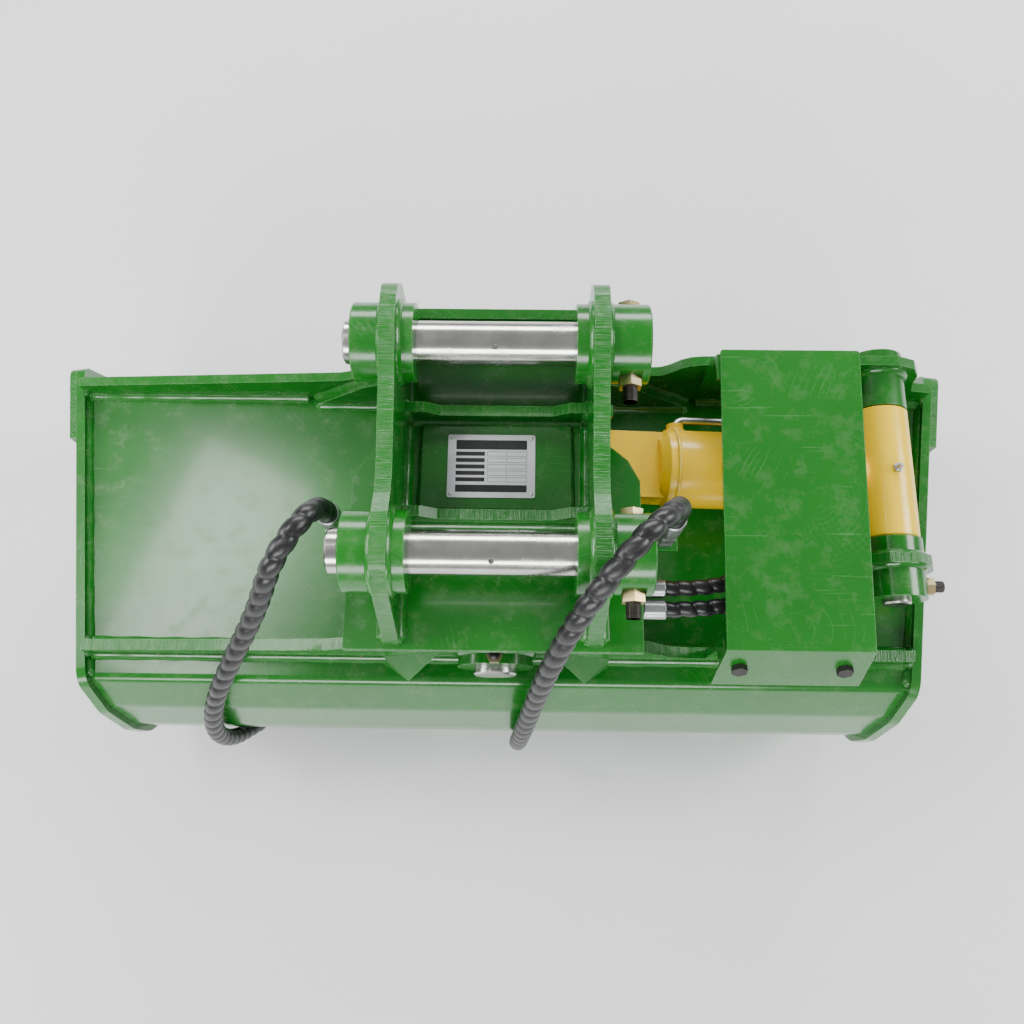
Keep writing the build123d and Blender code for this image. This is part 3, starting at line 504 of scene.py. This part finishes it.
NODE_FINISH = {
    "green": ("shell_plate", "side_plate_left", "side_plate_right", "pivot_bosses", "cylinder_lug_bosses",
              "ear_bosses_left", "ear_bosses_right", "data_panel", "pivot_housings", "cover_brackets"),
    "green_x": ("ear_left", "ear_right", "side_cutters", "port_plate"),
    "green_y": ("front_cross_plate", "front_plate_doubler", "rear_cross_plate", "rear_gussets",
                "cylinder_rear_lug", "head_front_plate", "head_stiffeners", "head_webs"),
    "green_z": ("head_base_plate", "hose_brackets", "cutting_edge"),
    "green_cover": ("cylinder_cover",),
    "yellow": ("cylinder_barrel", "cylinder_gland"),
    "rod": ("cylinder_rod",),
    "pin_x": ("upper_hitch_pin", "lower_hitch_pin"),
    "pin_y": ("tilt_pin", "cylinder_rod_pin", "cylinder_base_pin"),
    "zinc": ("keeper_nuts", "hitch_pin_nuts", "hitch_pin_bolts", "base_pin_rings"),
    "black_bolt": ("keeper_bolts", "cover_bolts"),
    "plated": ("hose_fittings", "hose_ends", "port_fittings", "transfer_pipes", "cylinder_pipe",
               "cylinder_unions", "grease_nipple", "hose_coupler_left", "hose_coupler_right"),
    "bronze": ("pivot_bushes", "thrust_washers", "base_eye_bush", "rod_eye_bushes"),
    "aluminium": ("data_plate", "data_plate_rivets"),
    "steel": ("cylinder_piston",),
}


# Mesh making


def to_object(mesh: bmesh.types.BMesh, name: str, material: bpy.types.Material, smooth: bool = True,
              ) -> bpy.types.Object:
    """Turn a bmesh into a linked object.

    Args:
        mesh: Finished mesh, freed afterwards.
        name: Name of the piece.
        material: Its finish.
        smooth: Whether its faces are shaded smooth.

    Returns:
        The object, at the origin.
    """
    bmesh.ops.recalc_face_normals(mesh, faces=mesh.faces)
    for face in mesh.faces:
        face.smooth = smooth
    data = bpy.data.meshes.new(name)
    mesh.to_mesh(data)
    mesh.free()
    data.materials.append(material)
    piece = bpy.data.objects.new(name, data)
    bpy.context.scene.collection.objects.link(piece)
    return piece


def settle(piece: bpy.types.Object, body: Body) -> bpy.types.Object:
    """Let a piece ride on a body, and report it.

    Args:
        piece: The piece.
        body: Body that carries it.

    Returns:
        The piece.
    """
    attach(piece, body.value)
    LOG.info("%s rides on %s: %d faces", piece.name, body.value, len(piece.data.polygons))
    return piece


def skin(mesh: bmesh.types.BMesh, rings: Sequence[Sequence[Vector]], closed: bool = False) -> None:
    """Extrude one ring of points from station to station.

    Args:
        mesh: Mesh that receives the tube.
        rings: Points of each station, all in the same order.
        closed: Whether the last station joins the first; otherwise both ends are capped.
    """
    count = len(rings[0])
    verts = bmesh.ops.create_circle(mesh, segments=count, radius=1.0)["verts"]
    for vert, spot in zip(verts, rings[0]):
        vert.co = spot
    first = loop_edges(verts)
    edges = first
    for ring in rings[1:]:
        made = bmesh.ops.extrude_edge_only(mesh, edges=edges)["geom"]
        fresh = {item for item in made if isinstance(item, bmesh.types.BMVert)}
        following = []
        for vert, spot in zip(verts, ring):
            grown = next(edge.other_vert(vert) for edge in vert.link_edges if edge.other_vert(vert) in fresh)
            grown.co = spot
            following.append(grown)
        verts = following
        edges = loop_edges(verts)
    if closed:
        bmesh.ops.bridge_loops(mesh, edges=first + edges)
    else:
        bmesh.ops.contextual_create(mesh, geom=first)
        bmesh.ops.contextual_create(mesh, geom=edges)


def loop_edges(verts: Sequence[bmesh.types.BMVert]) -> list[bmesh.types.BMEdge]:
    """Edges that join a ring of vertices in order.

    Args:
        verts: The ring.

    Returns:
        Its edges.
    """
    edges = []
    for one, two in zip(verts, [*verts[1:], verts[0]]):
        edges.append(next(edge for edge in one.link_edges if edge.other_vert(one) is two))
    return edges


def frames_along(points: Sequence[Vector]) -> list[tuple[Vector, Vector, Vector]]:
    """Frames carried along a line without twist.

    Args:
        points: Points of the line.

    Returns:
        Place, side and other side at each point.
    """
    frames = []
    side = None
    last = len(points) - 1
    for index, spot in enumerate(points):
        heading = (points[min(index + 1, last)] - points[max(index - 1, 0)]).normalized()
        if side is None:
            side = heading.orthogonal()
        side = (side - heading * side.dot(heading)).normalized()
        frames.append((spot, side, heading.cross(side)))
    return frames


def even_steps(points: Sequence[Vector], step: float) -> tuple[list[Vector], list[float]]:
    """Points a near-equal distance apart on a line.

    Args:
        points: Points of the line.
        step: Wanted distance.

    Returns:
        The points and the distance of each from the start.
    """
    marks = [0.0]
    for one, two in zip(points, points[1:]):
        marks.append(marks[-1] + (two - one).length)
    count = max(2, round(marks[-1] / step))
    spots, places = [], []
    index = 0
    for number in range(count + 1):
        goal = marks[-1] * number / count
        while index < len(points) - 2 and marks[index + 1] < goal:
            index += 1
        share = (goal - marks[index]) / max(marks[index + 1] - marks[index], 1e-9)
        spots.append(points[index].lerp(points[index + 1], min(share, 1.0)))
        places.append(goal)
    return spots, places


def tube(mesh: bmesh.types.BMesh, points: Sequence[Vector], step: float, sides: int,
         radius: Callable[[float, float], float]) -> None:
    """Round tube along a line whose radius varies.

    Args:
        mesh: Mesh that receives it.
        points: The line.
        step: Distance between stations.
        sides: Corners of each station.
        radius: Radius from the distance along the line and the share of a turn.
    """
    spots, places = even_steps(points, step)
    rings = []
    for (spot, side, other), place in zip(frames_along(spots), places):
        ring = []
        for corner in range(sides):
            share = corner / sides
            turn = math.tau * share
            ring.append(spot + (side * math.cos(turn) + other * math.sin(turn)) * radius(place, share))
        rings.append(ring)
    skin(mesh, rings)


def mm(*values: float) -> Vector:
    """Vector from millimetres."""
    return Vector(values) * MM


# Weld beads


@dataclass
class Bead:
    """One fillet weld along a line or a circle, sizes in millimetres."""

    start: Point
    end: Point
    along_a: Point
    along_b: Point
    leg: float = 7.0

    def stations(self) -> list[tuple[Vector, Vector, Vector]]:
        """Root point and the two leg directions at each station."""
        one, two = mm(*self.start), mm(*self.end)
        count = max(2, round((two - one).length / (3.0 * MM)))
        legs = Vector(self.along_a).normalized(), Vector(self.along_b).normalized()
        return [(one.lerp(two, index / count), *legs) for index in range(count + 1)]

    def build(self, mesh: bmesh.types.BMesh, closed: bool = False) -> None:
        """Add the bead to a mesh.

        Args:
            mesh: Mesh that receives it.
            closed: Whether the bead runs right round.
        """
        rings = []
        arc = 5
        total = len(self.stations())
        for index, (root, out, up) in enumerate(self.stations()):
            taper = 1.0 if closed else min(1.0, 0.35 + min(index, total - 1 - index) * 0.4)
            ring = [root - (out + up) * 1.0 * MM]
            for corner in range(arc + 1):
                share = corner / arc
                bulge = math.sin(math.pi * share)
                ripple = 0.35 * math.sin(math.tau * (index * 3.0 / 6.5 + 0.45 * bulge)) * bulge
                wander = 0.4 * math.sin(index * 0.37) + 0.3 * math.sin(index * 0.11 + 1.0)
                leg = (self.leg + wander) * taper
                spot = out * (leg * (1 - share) - 0.3 * share) + up * (leg * share - 0.3 * (1 - share))
                spot += (out + up) * (0.12 * self.leg * bulge * taper + ripple * taper)
                ring.append(root + spot * MM)
            rings.append(ring)
        skin(mesh, rings, closed)


@dataclass
class RoundBead(Bead):
    """Weld bead round a boss: start is its centre, end its axis, along_a and along_b are not used."""

    radius: float = 45.0

    def stations(self) -> list[tuple[Vector, Vector, Vector]]:
        """Root point and the two leg directions at each station."""
        centre, axis = mm(*self.start), Vector(self.end).normalized()
        side = axis.orthogonal().normalized()
        other = axis.cross(side)
        count = max(16, round(math.tau * self.radius / 3.2))
        found = []
        for index in range(count):
            turn = math.tau * index / count
            out = side * math.cos(turn) + other * math.sin(turn)
            found.append((centre + out * self.radius * MM, out, axis))
        return found


def ring_bead(centre: Point, axis: Point, radius: float, leg: float) -> RoundBead:
    """Bead round a boss.

    Args:
        centre: Centre of the circle where the boss meets its plate.
        axis: Direction away from the plate.
        radius: Radius of the boss.
        leg: Leg of the bead.

    Returns:
        The bead.
    """
    return RoundBead(centre, axis, axis, axis, leg, radius)


@dataclass
class Welds:
    """All weld beads of one body."""

    name: str
    body: Body
    slot: Slot
    finish: str
    beads: list[Bead] = field(default_factory=list)

    def build(self, finishes: Finishes) -> bpy.types.Object:
        """Build the beads as one piece.

        Args:
            finishes: The finishes.

        Returns:
            The piece.
        """
        mesh = bmesh.new()
        carrier = bpy.data.meshes.new(self.name + "_bead")
        for bead in self.beads:
            single = bmesh.new()
            bead.build(single, isinstance(bead, RoundBead))
            single.to_mesh(carrier)
            single.free()
            mesh.from_mesh(carrier)
        bpy.data.meshes.remove(carrier)
        return settle(to_object(mesh, self.name, finishes.get(self.finish)), self.body)


@dataclass
class HeadWelds:
    """Beads of the hitch head, sizes in millimetres."""

    top: float = 553.0
    under: float = 538.0
    ear_in: float = 108.0
    ear_out: float = 126.0
    pins: tuple[tuple[float, float], ...] = ((172.0, 660.0), (-70.0, 648.0))
    webs: tuple[float, ...] = (-125.6, 19.0, 134.0, 186.6)

    def beads(self) -> list[Bead]:
        """List the beads."""
        found: list[Bead] = []
        for side in (-1, 1):
            inward, outward = (-side, 0, 0), (side, 0, 0)
            found.append(Bead((side * self.ear_out, -156, self.top), (side * self.ear_out, 96, self.top),
                              outward, (0, 0, 1), 9.0))
            for low, high in ((-156, -15), (2, 115), (132, 222)):
                found.append(Bead((side * self.ear_in, low, self.top), (side * self.ear_in, high, self.top),
                                  inward, (0, 0, 1), 8.0))
            for y in (117, -13):
                for face, way in ((y, -1), (y + 13, 1)):
                    found.append(Bead((side * self.ear_in, face, self.top), (side * self.ear_in, face, 588),
                                      inward, (0, way, 0), 6.0))
            found.append(Bead((side * self.ear_in, 224, self.top), (side * self.ear_in, 224, 618),
                              inward, (0, -1, 0), 7.0))
            found.append(Bead((side * 174, -32 if side < 0 else -38, self.under),
                              (side * 174, 0 if side < 0 else -6, self.under), outward, (0, 0, 1), 6.0))
            for y, z in self.pins:
                found.append(ring_bead((side * self.ear_out, y, z), outward, 45.0, 5.5))
                found.append(ring_bead((side * self.ear_in, y, z), inward, 45.0, 5.0))
            found.append(Bead((side * 90, 6, self.top), (side * 90, 111, self.top), outward, (0, 0, 1), 5.0))
        for y in (117, -13):
            for face, way in ((y, -1), (y + 13, 1)):
                found.append(Bead((-self.ear_in, face, self.top), (self.ear_in, face, self.top),
                                  (0, way, 0), (0, 0, 1), 6.0 if face in (117, 0) else 8.0))
        found.append(Bead((-self.ear_in, 224, self.top), (self.ear_in, 224, self.top), (0, -1, 0), (0, 0, 1), 8.0))
        for face, way in ((6, -1), (111, 1)):
            found.append(Bead((-90, face, self.top), (90, face, self.top), (0, way, 0), (0, 0, 1), 5.0))
        for low in self.webs:
            for face, way in ((low, -1), (low + 15, 1)):
                found.append(Bead((-112, face, self.under), (112, face, self.under), (0, way, 0), (0, 0, -1), 7.0))
        return found


@dataclass
class BucketWelds:
    """Beads of the bucket body, sizes in millimetres."""

    top: float = 380.0
    front: float = 221.0
    rear: float = -150.0
    pivot: float = 432.0
    rod_pin: tuple[float, float] = (505.0, 460.0)
    half: float = 609.5
    taper: float = 0.14
    side: float = 12.1

    def inner(self, y: float) -> float:
        """X of the side plate's inner face at a given Y."""
        return self.half + self.taper * (y - 232.0) - self.side

    def beads(self) -> list[Bead]:
        """List the beads."""
        up = (0, 0, 1)
        found: list[Bead] = []
        for side in (-1, 1):
            inward = (-side, 0, 0)
            found.append(Bead((side * 272, self.front, self.top), (side * self.inner(self.front), self.front, self.top),
                              (0, -1, 0), up, 9.0))
            for face, way in ((self.rear, -1), (self.rear + 15, 1), (self.front, -1)):
                found.append(Bead((side * self.inner(face), face, self.top), (side * self.inner(face), face, self.top + 15),
                                  inward, (0, way, 0), 7.0))
            for low, high in ((-180, self.rear - 2), (self.rear + 17, self.front - 2)):
                found.append(Bead((side * self.inner(low), low, self.top), (side * self.inner(high), high, self.top),
                                  inward, up, 7.0))
            found.append(Bead((side * self.inner(236), 236, 16), (side * self.inner(300), 300, 16), inward, up, 6.0))
        found.append(Bead((-266, self.front - 12, self.top), (266, self.front - 12, self.top), (0, -1, 0), up, 9.0))
        edge = [(-268, 0), (-186, 66), (-150, 80), (-95, 97), (95, 97), (150, 80), (186, 66), (268, 0)]
        for (x0, z0), (x1, z1) in zip(edge, edge[1:]):
            found.append(Bead((x0, self.front, self.top + z0), (x1, self.front, self.top + z1),
                              (z0 - z1, 0, x1 - x0), (0, -1, 0), 7.0))
        for face, way in ((self.rear, -1), (self.rear + 15, 1)):
            reach = self.inner(face)
            found.append(Bead((-reach, face, self.top), (reach, face, self.top), (0, way, 0), up, 8.5))
        found.append(ring_bead((0, self.front + 13, self.pivot), (0, 1, 0), 48.0, 6.0))
        found.append(ring_bead((0, self.rear, self.pivot), (0, -1, 0), 48.0, 6.0))
        rod_x, rod_z = self.rod_pin
        for face, way, radius in ((-40, -1, 38.0), (-27, 1, 36.0), (self.front, -1, 36.0),
                                  (self.front + 13, 1, 36.0)):
            found.append(ring_bead((rod_x, face, rod_z), (0, way, 0), radius, 6.0))
        for face, way in ((-40, -1), (-27, 1)):
            found.append(Bead((431, face, self.top), (self.inner(face), face, self.top), (0, way, 0), up, 8.0))
        reach = self.inner(235)
        found.append(Bead((-reach, 235, 8), (reach, 235, 8), (0, -1, 0), up, 7.0))
        return found


@dataclass
class CylinderWelds:
    """Beads round the cylinder's own line, sizes in millimetres."""

    base: Point = (100.0, 84.0, 492.0)
    line: Point = (0.99689, 0.0, -0.07877)
    length: float = 406.26

    def spot(self, along: float) -> Point:
        """Point on the cylinder's line."""
        return tuple(Vector(self.base) + Vector(self.line) * along)

    def barrel(self) -> list[Bead]:
        """Beads of the barrel: tube to cap, and its two port pads."""
        back = tuple(-part for part in self.line)
        return [ring_bead(self.spot(123.0), self.line, 49.6, 4.0),
                ring_bead(self.spot(125.0), back, 49.6, 4.0),
                ring_bead((self.spot(130.0)[0], 133.0, self.spot(130.0)[2]), (0, 1, 0), 11.0, 4.0)]

    def rod(self) -> list[Bead]:
        """Bead of the rod: rod to eye."""
        back = tuple(-part for part in self.line)
        return [ring_bead(self.spot(self.length - 35.5), back, 22.5, 6.0)]


# Hoses


@dataclass
class Hose:
    """Hose along its route, sizes in metres."""

    name: str
    node: str
    route: tuple[Point, ...]
    radius: float
    length: float
    ends: tuple[Body, Body]
    bend_from: Point
    bend_to: Point
    far_end: str
    coupler: str = ""
    pitch: float = 0.025
    guard: float = 0.0034

    def line(self) -> list[Vector]:
        """Read points from the route's NURBS spline."""
        data = bpy.data.curves.new(self.name + "_route", "CURVE")
        data.dimensions = "3D"
        data.resolution_u = 16
        spline = data.splines.new("NURBS")
        spline.points.add(len(self.route) - 1)
        for point, spot in zip(spline.points, self.route):
            point.co = (*spot, 1.0)
        spline.order_u = 3
        spline.use_endpoint_u = True
        carrier = bpy.data.objects.new(self.name + "_route", data)
        bpy.context.scene.collection.objects.link(carrier)
        bpy.context.view_layer.update()
        mesh = bpy.data.meshes.new_from_object(carrier.evaluated_get(bpy.context.evaluated_depsgraph_get()))
        points = [vert.co.copy() for vert in mesh.vertices]
        bpy.data.objects.remove(carrier)
        bpy.data.curves.remove(data)
        bpy.data.meshes.remove(mesh)
        return points

    def surface(self, place: float, share: float) -> float:
        """Radius of the spiral guard.

        Args:
            place: Distance along the hose.
            share: Share of a turn.

        Returns:
            The radius.
        """
        turn = (place / self.pitch - share) % 1.0
        return self.radius - self.guard + self.guard * math.sin(math.pi * turn) ** 0.5

    def build(self, finishes: Finishes) -> bpy.types.Object:
        """Args:
            finishes: The finishes.

        Returns:
            The hose.
        """
        points = self.line()
        mesh = bmesh.new()
        tube(mesh, points, self.pitch / 12, 28, self.surface)
        piece = to_object(mesh, self.name, finishes.get("guard"))
        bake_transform(piece)
        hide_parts(self.node)
        LOG.info("%s: %.3f m", self.name, even_steps(points, 0.01)[1][-1])
        return piece


LONG_LEFT = ((-.190, -.016, .605), (-.190, -.016, .638), (-.199, -.034, .669), (-.216, -.063, .679),
             (-.237, -.094, .662), (-.264, -.124, .594), (-.318, -.172, .496), (-.366, -.214, .398),
             (-.394, -.246, .296), (-.400, -.252, .190), (-.394, -.226, .086), (-.372, -.197, .030),
             (-.320, -.200, .0135), (-.214, -.206, .013), (-.112, -.204, .013))
LONG_RIGHT = ((.203, -.022, .620), (.203, -.022, .670), (.190, -.037, .710), (.160, -.065, .732),
              (.122, -.108, .726), (.086, -.152, .670), (.062, -.190, .570), (.046, -.222, .456),
              (.034, -.246, .342), (.028, -.253, .230), (.030, -.240, .126), (.050, -.202, .032),
              (.106, -.200, .0135), (.212, -.206, .013), (.314, -.204, .013))
SHORT_ROD = ((.180, -.078, .504), (.2670, -.078, .504), (.2999, -.0590, .4994), (.3189, -.0261, .4948),
             (.3189, .012, .4948))
SHORT_BASE = ((.180, -.104, .504), (.2745, -.104, .504), (.3178, -.0790, .4984), (.3428, -.0357, .4929),
              (.3428, .012, .4929))


@dataclass
class HoseSet:
    """The four hoses with their crimped ends."""

    ferrule: float = 0.028
    flutes: int = 8

    def hoses(self) -> list[Hose]:
        """List the hoses."""
        tilt = (Body.HEAD, Body.BUCKET)
        swing = (Body.HEAD, Body.BARREL)
        return [
            Hose("long_hose_guard_left", "long_hose_left", LONG_LEFT, 0.0125, 1.11, tilt,
                 (-.190, -.016, .640), (-.394, -.246, .296), "connector", "hose_coupler_left"),
            Hose("long_hose_guard_right", "long_hose_right", LONG_RIGHT, 0.0125, 1.18, tilt,
                 (.203, -.022, .670), (.034, -.248, .342), "connector", "hose_coupler_right"),
            Hose("short_hose_rubber_rod_side", "short_hose_rod_side", SHORT_ROD, 0.010, 0.19, swing,
                 (.190, -.078, .504), (.3189, .004, .4948), "object", pitch=0.020, guard=0.0026),
            Hose("short_hose_rubber_base_side", "short_hose_base_side", SHORT_BASE, 0.010, 0.23, swing,
                 (.190, -.104, .504), (.3428, .004, .4929), "object", pitch=0.020, guard=0.0026),
        ]

    def crimp(self, name: str, start: Point, end: Point, radius: float, body: Body, finishes: Finishes) -> None:
        """Crimped sleeve with pressed flutes.

        Args:
            name: Name of the piece.
            start: Where the sleeve starts.
            end: Where it ends.
            radius: Its radius.
            body: Body that carries it.
            finishes: The finishes.
        """
        def surface(place: float, share: float) -> float:
            """Radius of the sleeve with flutes between its two plain rims."""
            whole = (Vector(end) - Vector(start)).length
            middle = min(1.0, min(place, whole - place) / 0.004)
            rim = 0.85 if min(place, whole - place) < 1e-5 else 1.0
            flute = abs(math.sin(self.flutes * math.pi * share)) ** 0.5
            return radius * rim - 0.0007 * middle * (1.0 - flute)
        mesh = bmesh.new()
        tube(mesh, [Vector(start), Vector(end)], 0.0015, 48, surface)
        settle(to_object(mesh, name, finishes.get("plated")), body)

    def build(self, finishes: Finishes) -> None:
        """Build the hoses and their ends.

        Args:
            finishes: The finishes.
        """
        for hose in self.hoses():
            hose.build(finishes)
        self.crimp("crimp_sleeve_left", (-.190, -.016, .577), (-.190, -.016, .6075), 0.0142, Body.HEAD, finishes)
        self.crimp("crimp_sleeve_right", (.203, -.022, .577), (.203, -.022, .6225), 0.0142, Body.HEAD, finishes)
        for side, route in (("rod_side", SHORT_ROD), ("base_side", SHORT_BASE)):
            x, y, z = route[0]
            self.crimp(f"short_sleeve_head_{side}", (x - .001, y, z), (x + self.ferrule, y, z), 0.0118,
                       Body.HEAD, finishes)
            x, y, z = route[-1]
            self.crimp(f"short_sleeve_cylinder_{side}", (x, y - .020, z), (x, y + .002, z), 0.0112,
                       Body.BARREL, finishes)


# Fasteners and the data plate


@dataclass
class Threads:
    """Visible thread on the bolt ends, sizes in millimetres."""

    depth: float = 0.5
    pitch: float = 2.0
    ends: tuple[tuple[str, Body, Point, Point, float, float], ...] = (
        ("thread_upper_hitch", Body.HEAD, (151.5, 119.0, 660.0), (0, -1, 0), 8.0, 17.0),
        ("thread_lower_hitch", Body.HEAD, (151.5, -123.0, 648.0), (0, -1, 0), 8.0, 17.0),
        ("thread_tilt_pin", Body.BUCKET, (0.0, -159.0, 488.0), (0, 0, 1), 6.0, 6.0),
        ("thread_rod_pin", Body.BUCKET, (552.0, -62.0, 460.0), (1, 0, 0), 7.0, 13.0),
    )

    def build(self, finishes: Finishes) -> None:
        """Build each thread as a helical ridge.

        Args:
            finishes: The finishes.
        """
        for name, body, start, line, radius, length in self.ends:
            def surface(place: float, share: float, radius: float = radius, length: float = length) -> float:
                """Radius with the thread cut in, tapered at the tip."""
                turn = (place / (self.pitch * MM) - share) % 1.0
                crest = 1.0 - abs(2.0 * turn - 1.0)
                tip = min(1.0, (length * MM - place) / (1.2 * MM))
                return (radius + 0.02 + self.depth * crest * tip) * MM
            mesh = bmesh.new()
            one = mm(*start)
            tube(mesh, [one, one + Vector(line) * length * MM], 0.25 * MM, 24, surface)
            settle(to_object(mesh, name, finishes.get("black_bolt")), body)


@dataclass
class DataPlate:
    """Generic enamel fields on the bare data plate, sizes in millimetres."""

    centre: tuple[float, float] = (-6.0, 59.0)
    top: float = 560.0
    raised: float = 0.15
    rows: int = 5

    def fields(self) -> list[tuple[float, float, float, float]]:
        """Left, right, low and high of each enamel field."""
        found = [(-43.0, 43.0, 21.0, 33.0), (-43.0, 43.0, -33.0, -24.0)]
        for row in range(self.rows):
            middle = 15.5 - row * 8.2
            found.append((-43.0, -8.0, middle - 2.6, middle + 2.6))
            for low, high in ((middle - 3.0, middle - 2.6), (middle + 2.6, middle + 3.0)):
                found.append((-5.0, 43.0, low, high))
            for left in (-5.0, 18.0, 42.6):
                found.append((left, left + 0.4, middle - 2.6, middle + 2.6))
        return found

    def build(self, finishes: Finishes) -> None:
        """Build the fields as one raised enamel layer.

        Args:
            finishes: The finishes.
        """
        mesh = bmesh.new()
        for left, right, low, high in self.fields():
            box = bmesh.ops.create_cube(mesh, size=1.0)["verts"]
            bmesh.ops.scale(mesh, vec=mm(right - left, high - low, 2 * self.raised), verts=box)
            bmesh.ops.translate(mesh, vec=mm(self.centre[0] + (left + right) / 2,
                                             self.centre[1] + (low + high) / 2, self.top), verts=box)
        settle(to_object(mesh, "data_plate_enamel", finishes.get("enamel"), False), Body.HEAD)


# Stage


@dataclass
class Studio:
    """Camera, soft lights and pale floor, in metres."""

    lens: float = 33.4
    place: Point = (0.03435, -0.31007, 1.64716)
    turn: Point = (15.999, 0.524, 0.842)
    lights: tuple[tuple[str, Point, tuple[float, float], float], ...] = (
        ("glare", (-1.15, 0.45, 2.6), (0.9, 0.45), 22.0),
        ("left", (-3.0, 0.2, 2.0), (1.4, 1.4), 70.0),
        ("right", (3.0, 0.4, 2.3), (1.4, 1.4), 80.0),
        ("front", (0.3, 3.0, 2.2), (3.0, 1.0), 120.0),
        ("rear", (-0.4, -3.0, 2.0), (3.0, 1.0), 120.0),
    )

    def camera(self) -> None:
        """Place the camera at the photograph's angle."""
        data = bpy.data.cameras.new("photo_camera")
        data.lens = self.lens
        data.sensor_width = 36.0
        camera = bpy.data.objects.new("photo_camera", data)
        camera.location = self.place
        camera.rotation_euler = [math.radians(angle) for angle in self.turn]
        bpy.context.scene.collection.objects.link(camera)
        bpy.context.scene.camera = camera

    def light(self) -> None:
        """Add the lights and the plain surroundings."""
        for name, spot, size, power in self.lights:
            data = bpy.data.lights.new(name, "AREA")
            data.shape = "RECTANGLE"
            data.size, data.size_y = size
            data.energy = power
            lamp = bpy.data.objects.new(name, data)
            lamp.location = spot
            lamp.rotation_euler = (Vector((0.0, 0.0, 0.4)) - Vector(spot)).to_track_quat("-Z", "Y").to_euler()
            bpy.context.scene.collection.objects.link(lamp)
        world = bpy.data.worlds.new("studio_white")
        world.use_nodes = True
        sky = world.node_tree.nodes["Background"]
        sky.inputs["Color"].default_value = (0.95, 0.97, 1.0, 1.0)
        sky.inputs["Strength"].default_value = 0.42
        bpy.context.scene.world = world

    def floor(self, finishes: Finishes) -> None:
        """Lay the floor.

        Args:
            finishes: The finishes.
        """
        mesh = bmesh.new()
        bmesh.ops.create_grid(mesh, x_segments=8, y_segments=8, size=6.0)
        piece = to_object(mesh, "studio_floor", finishes.get("floor"), False)


def dress_nodes(finishes: Finishes) -> None:
    """Give every solid of the frame its finish.

    Args:
        finishes: The finishes.
    """
    dressed = 0
    for key, names in NODE_FINISH.items():
        for name in names:
            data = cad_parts[name].data
            data.materials.clear()
            data.materials.append(finishes.get(key))
            dressed += 1
    LOG.info("%d solids dressed", dressed)


def main() -> None:
    """Build the stage, the hoses and every dressed piece in order."""
    logging.basicConfig(level=logging.INFO, format="%(message)s")
    finishes = Finishes()
    studio = Studio()
    studio.camera()
    HoseSet().build(finishes)
    dress_nodes(finishes)
    Welds("head_weld_beads", Body.HEAD, Slot.GREEN, "green_weld", HeadWelds().beads()).build(finishes)
    Welds("bucket_weld_beads", Body.BUCKET, Slot.GREEN, "green_weld", BucketWelds().beads()).build(finishes)
    cylinder = CylinderWelds()
    Welds("barrel_weld_beads", Body.BARREL, Slot.YELLOW, "yellow", cylinder.barrel()).build(finishes)
    Welds("rod_weld_bead", Body.ROD, Slot.YELLOW, "yellow", cylinder.rod()).build(finishes)
    Threads().build(finishes)
    DataPlate().build(finishes)
    studio.light()
    studio.floor(finishes)


if __name__ == "__main__":
    main()
